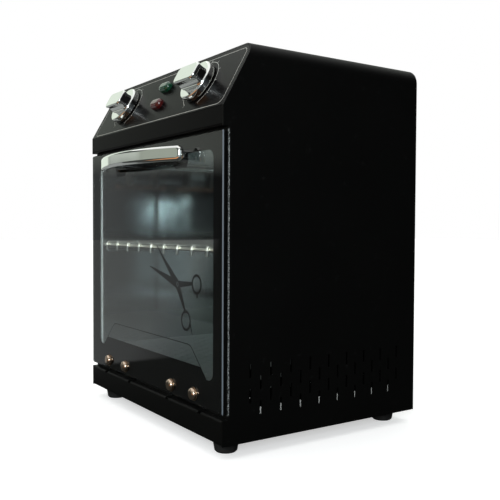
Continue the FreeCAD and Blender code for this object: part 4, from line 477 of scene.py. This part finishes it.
STOP_TIP = (UPPER_RING[0] + 0.0008, UPPER_RING[1] - 0.0098)
STOP_FOOT_HALF = 0.0010
STOP_TIP_HALF = 0.0012
scissors = loop(UPPER_RING, *UPPER_RING_HALF, RING_LINE) & loop(LOWER_RING, *LOWER_RING_HALF, RING_LINE)
for tip in BLADE_TIPS:
    scissors = scissors & bar(PIVOT, tip, BLADE_HALF, POINT_HALF)
scissors = scissors & bar(PIVOT, UPPER_SHANK_END, UPPER_SHANK_HALF, SHANK_END_HALF)
scissors = scissors & bar(PIVOT, LOWER_SHANK_END, LOWER_SHANK_HALF, SHANK_END_HALF)
scissors = scissors & bar(REST_FOOT, REST_TIP, REST_FOOT_HALF, REST_TIP_HALF)
scissors = scissors & bar(STOP_FOOT, STOP_TIP, STOP_FOOT_HALF, STOP_TIP_HALF)
PRINT_BLUR = 0.00012
PRINT_DEEP = 0.0002
GROUND_DEEP = 0.0004
BEVEL_WIDE = 0.0011
BEVEL_DEEP = 0.0007
pin = loop(PIVOT, PIN_RADIUS, PIN_RADIUS, PIN_LINE)
printed = ((black & scissors).inside(PRINT_BLUR) * (1.0 - pin.inside(PRINT_BLUR))).held()
printed = printed * (pane.y > glass_high.y - PRINT_DEEP)
ground = side > glass_high.x - GROUND_DEEP
bevel = (side > glass_high.x - BEVEL_WIDE) * (pane.y < glass_low.y + BEVEL_DEEP)
smear = pane.noise(30.0, detail=5.0)
clear = pane.surface(Base_Color=rgb(0.93, 0.97, 0.95), Roughness=0.0, IOR=1.5, Transmission_Weight=1.0)
thin = pane.node("ShaderNodeBsdfTransparent", {}, {"Color": rgb(0.93, 0.96, 0.95)})
window = pane.either(pane.seen_by("Is Shadow Ray"), clear, thin)
ink_colour = pane.blend(smear, rgb(0.0015, 0.0015, 0.0015), rgb(0.003, 0.003, 0.003))
ink = pane.surface(Base_Color=pane.blend(bevel, ink_colour, rgb(0.16, 0.19, 0.22)),
                   Roughness=0.35 + 0.1 * smear, Specular_IOR_Level=0.10)
dress(pane.done(pane.either(printed | ground | bevel, window, ink)), "door_glass")

# The chamber: a stainless tube, flanged behind the face frame, with a plain rear wall. Bright rolled
# sheet, its grain running front to back, clouded a little by heat. Its front lip is dull and pale,
# and a dark band runs up each rear corner: the seam, with painted shade in the corner.
LIP_REAR = -0.0808
CORNER_SHADE_X = 0.1092
CORNER_SHADE_Y = 0.0878
steel = Finish("chamber_steel")
rolled = steel.noise(40.0, detail=4.0, roughness=0.6, stretch=(24.0, 1.0, 24.0))
cloud = steel.noise(9.0, detail=5.0)
tint = steel.noise(5.0, detail=4.0)
lip = steel.y < LIP_REAR
# Painted shade: a dark band up each rear corner, over the seam.
corner_seam_shade = (abs(steel.x) > CORNER_SHADE_X) * (steel.y > CORNER_SHADE_Y)
wall = steel.blend(tint, rgb(0.60, 0.65, 0.67), rgb(0.67, 0.69, 0.68))
lip_and_corner_colour = steel.blend(corner_seam_shade, rgb(0.92, 0.95, 0.96), rgb(0.10, 0.11, 0.11))
dress(steel.done(steel.surface(
    Base_Color=steel.blend(lip | corner_seam_shade, wall, lip_and_corner_colour), Metallic=1.0,
    Roughness=(0.03 + 0.05 * cloud + 0.04 * rolled + 0.5 * lip).held(),
    Normal=steel.bump(rolled + 4.0 * cloud, strength=0.02, distance=0.0003))),
    "chamber_liner", "chamber_back")

# The slotted tray on the floor of the chamber. The same stainless sheet, punched and folded, but
# matt from wear and washing. It stands on its own legs over the heater.
tray = Finish("tray_steel")
rolled = tray.noise(60.0, detail=4.0, roughness=0.6, stretch=(1.0, 20.0, 20.0))
cloud = tray.noise(16.0, detail=5.0)
dress(tray.done(tray.surface(
    Base_Color=tray.blend(cloud, rgb(0.66, 0.70, 0.72), rgb(0.78, 0.80, 0.80)), Metallic=1.0,
    Roughness=(0.20 + 0.12 * cloud + 0.10 * rolled).held(),
    Normal=tray.bump(rolled + 2.0 * cloud, strength=0.10, distance=0.0003))), "floor_grille")

# The heater under the tray. A steel tube packed with mineral round its wire and bent into turns,
# dulled and browned by its own heat, and held down by saddles.
hot = Finish("heater_steel")
cloud = hot.noise(60.0, detail=5.0)
dress(hot.done(hot.surface(
    Base_Color=hot.blend(cloud, rgb(0.10, 0.09, 0.085), rgb(0.20, 0.18, 0.16)), Metallic=0.8,
    Roughness=0.45 + 0.2 * cloud,
    Normal=hot.bump(hot.noise(1200.0), strength=0.3, distance=0.0001))), "heating_element")

# The shelf and the pins of the hinges: bright drawn stainless wire and rod. The shelf lies on the
# chamber's ledges, and the turned down ends of its wires in front are painted dark: painted shade under the
# door's black border.
STUB_TOP = 0.1556
STUB_REAR = -0.0780
wire = Finish("polished_wire")
drawn = wire.noise(500.0, detail=3.0, roughness=0.5, stretch=(6.0, 1.0, 6.0))
bright = wire.blend(wire.noise(25.0), rgb(0.84, 0.83, 0.76), rgb(0.90, 0.88, 0.80))
# Painted shade: the wire ends under the door's black border are coloured dark.
stub_shade = (wire.z < STUB_TOP) * (wire.y < STUB_REAR)
dress(wire.done(wire.surface(
    Base_Color=wire.blend(stub_shade, bright, rgb(0.16, 0.17, 0.16)), Metallic=1.0,
    Roughness=0.36 + 0.12 * drawn)), "wire_shelf", "hinge_pin_left", "hinge_pin_right")

# The knobs, and the handle with its posts and screws. Plated parts with a mirror finish and faint
# wipe marks. The knobs are pushed on their shafts, and the handle is screwed on through the pane.
chrome = Finish("mirror_chrome")
haze = chrome.noise(70.0, detail=5.0)
dress(chrome.done(chrome.surface(
    Base_Color=chrome.blend(haze, rgb(0.84, 0.86, 0.83), rgb(0.90, 0.91, 0.89)), Metallic=1.0,
    Roughness=(0.03 + 0.05 * haze).held(),
    Normal=chrome.bump(chrome.noise(160.0, detail=2.0), strength=0.05, distance=0.0001))),
    "timer_knob", "thermostat_knob", "handle_bar", "handle_post_left", "handle_post_right",
    "handle_screws")

# The screws of the door, the base and the feet. Domed heads of nickel plated steel, polished, with
# a warm, coppery tint that is a painted reflection of the warm patch on the bench in front.
nickel = Finish("warm_nickel")
# The warm, coppery colour is a painted reflection.
warm_tint = nickel.noise(220.0, detail=5.0)
dress(nickel.done(nickel.surface(
    Base_Color=nickel.blend(warm_tint, rgb(0.55, 0.40, 0.29), rgb(0.74, 0.60, 0.48)), Metallic=1.0,
    Roughness=(0.10 + 0.14 * warm_tint).held(),
    Normal=nickel.bump(nickel.noise(500.0), strength=0.06, distance=0.0001))),
    "door_screws", "base_screws", "foot_screws")

# The fittings: brackets, mounts, nuts, small screws, straps and the thermostat's body. Pressed or
# turned steel, zinc plated and yellowed in patches.
zinc = Finish("zinc_plate")
patch = zinc.noise(90.0, detail=4.0)
dress(zinc.done(zinc.surface(
    Base_Color=zinc.blend(patch, rgb(0.45, 0.44, 0.42), rgb(0.60, 0.58, 0.52)), Metallic=1.0,
    Roughness=(0.28 + 0.2 * zinc.noise(260.0)).held())),
    "hinge_bracket_left", "hinge_bracket_right", "hinge_mount_left", "hinge_mount_right",
    "heater_saddles", "heater_terminals", "control_nuts", "thermostat_body", "bulb_clips", "foot_nuts",
    "rear_screws", "door_nuts")

# The feet and the cord grommet. Moulded black rubber with a fine matt skin, a little dusty. The
# feet are screwed on, and the grommet is pressed into its hole in the rear panel.
rubber = Finish("moulded_rubber")
dust = rubber.noise(120.0, detail=5.0)
dress(rubber.done(rubber.surface(
    Base_Color=rubber.blend(dust, rgb(0.010, 0.010, 0.010), rgb(0.024, 0.023, 0.022)),
    Roughness=(0.62 + 0.2 * dust).held(),
    Normal=rubber.bump(rubber.noise(2400.0, detail=2.0), strength=0.4, distance=0.0001))),
    "foot_front_left", "foot_front_right", "foot_rear_left", "foot_rear_right", "cord_grommet")

# The signal lamps. Small clear lenses, one green and one red, moulded with a pebbled back that
# scatters the light, and clipped into the panel in front of lamp tubes that are off.
for name, deep, bright in (("green_lamp", rgb(0.002, 0.030, 0.014), rgb(0.010, 0.085, 0.042)),
                           ("red_lamp", rgb(0.040, 0.004, 0.004), rgb(0.110, 0.010, 0.010))):
    clear_lens = Finish(name + "_lens")
    pebble = clear_lens.node("ShaderNodeTexVoronoi", {}, {"Vector": clear_lens.place, "Scale": 700.0})
    dress(clear_lens.done(clear_lens.surface(
        Base_Color=clear_lens.blend(pebble, bright, deep), Roughness=0.08 + 0.1 * clear_lens.noise(200.0),
        Coat_Weight=0.6, Coat_Roughness=0.04,
        Normal=clear_lens.bump(pebble, strength=0.4, distance=0.0002))), name)

# The pieces behind the panels and the door's small parts: moulded bodies and pads, fired ceramic,
# pressed wool, drawn copper, turned brass and browned washers. Each row has the material's darker
# and paler colour, its roughness, how metallic it is, and the nodes made of it.
PLAIN_FINISHES = {
    "black_moulding": (rgb(0.020, 0.020, 0.020), rgb(0.032, 0.032, 0.032), 0.45, 0.0,
                       ("lamp_bodies", "thermal_cutout", "hinge_pad_left", "hinge_pad_right")),
    "cream_moulding": (rgb(0.55, 0.50, 0.40), rgb(0.62, 0.58, 0.48), 0.5, 0.0, ("timer_body",)),
    "steatite": (rgb(0.70, 0.66, 0.58), rgb(0.80, 0.77, 0.70), 0.55, 0.0,
                 ("terminal_block", "heater_bushes")),
    "mineral_wool": (rgb(0.55, 0.52, 0.40), rgb(0.72, 0.70, 0.58), 0.95, 0.0,
                     ("insulation_wrap", "insulation_back")),
    "drawn_copper": (rgb(0.60, 0.30, 0.18), rgb(0.74, 0.42, 0.27), 0.25, 1.0, ("sensing_bulb",)),
    "turned_brass": (rgb(0.62, 0.48, 0.22), rgb(0.72, 0.58, 0.30), 0.28, 1.0,
                     ("timer_shaft", "thermostat_shaft", "earth_screw")),
    "coppery_steel": (rgb(0.30, 0.22, 0.15), rgb(0.42, 0.31, 0.21), 0.30, 1.0, ("door_washers",)),
}
for name, (dark, pale, rough, metal, nodes) in PLAIN_FINISHES.items():
    plain = Finish(name)
    mottle = plain.noise(140.0, detail=5.0)
    dress(plain.done(plain.surface(
        Base_Color=plain.blend(mottle, dark, pale), Metallic=metal,
        Roughness=(rough - 0.08 + 0.16 * mottle).held(),
        Normal=plain.bump(plain.noise(1500.0, detail=2.0), strength=0.25, distance=0.0001))), *nodes)

# The sealing tapes. White woven glass tape, one along the top of each side wall of the base pan,
# close behind the casing's lowest slots. Pressed on by hand, so that the upper edge wanders.
TAPE_THICK = 0.0009
TAPE_WIDE = 0.0056
TAPE_FRONT = -0.0780
TAPE_REAR = 0.1060
TAPE_LIFT = 0.0001
TAPE_BEHIND = 0.0005
TAPE_EDGE = 0.4
TAPE_STEPS = 60
TAPE_SMOOTH = math.radians(40.0)
WANDER = 0.0003
WANDER_TURNS = 60.0
WANDER_LONG = 1.7
WANDER_SHORT = 3.0
CASING_WALL = 0.0014
WEAVE_SCALE = 300.0
woven = Finish("woven_glass_tape")
warp, weft = (woven.node("ShaderNodeTexWave", {"bands_direction": direction},
                         {"Vector": woven.place, "Scale": WEAVE_SCALE}, 1) for direction in "YZ")
weave = warp | weft
soiled = woven.noise(35.0, detail=5.0)
tape_finish = woven.done(woven.surface(
    Base_Color=woven.blend(soiled, rgb(0.70, 0.70, 0.66), rgb(0.92, 0.92, 0.90)),
    Roughness=0.75 + 0.15 * weave, Normal=woven.bump(weave, strength=0.5, distance=0.0002)))
tape_x = CASING_HALF - CASING_WALL - TAPE_BEHIND - TAPE_THICK / 2
tape_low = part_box("base_pan")[1].z + TAPE_LIFT
tape_high = tape_low + TAPE_WIDE
for name, side_sign in (("seal_tape_left", -1.0), ("seal_tape_right", 1.0)):
    bpy.ops.object.select_all(action="DESELECT")
    bpy.ops.mesh.primitive_grid_add(x_subdivisions=TAPE_STEPS, y_subdivisions=2, size=1.0)
    tape = bpy.context.object
    tape.name = name
    tape.scale = (TAPE_REAR - TAPE_FRONT, TAPE_WIDE, 1.0)
    tape.rotation_euler = (math.pi / 2, 0.0, math.pi / 2)
    tape.location = (side_sign * tape_x, (TAPE_REAR + TAPE_FRONT) / 2, (tape_high + tape_low) / 2)
    bpy.ops.object.transform_apply(location=True, rotation=True, scale=True)
    for point in tape.data.vertices:
        if point.co.z > tape_high - TAPE_THICK:
            turn = point.co.y * WANDER_TURNS + side_sign
            point.co.z += WANDER * math.sin(WANDER_SHORT * turn) * math.cos(WANDER_LONG * turn)
    thick = tape.modifiers.new("thick", "SOLIDIFY")
    thick.thickness = TAPE_THICK
    thick.offset = 0.0
    soft_edges = tape.modifiers.new("soft_edges", "BEVEL")
    soft_edges.width = TAPE_THICK * TAPE_EDGE
    soft_edges.segments = 2
    for modifier in ("thick", "soft_edges"):
        bpy.ops.object.modifier_apply(modifier=modifier)
    bpy.ops.object.shade_smooth_by_angle(angle=TAPE_SMOOTH)
    tape.data.materials.append(tape_finish)
    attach(tape, "cabinet")
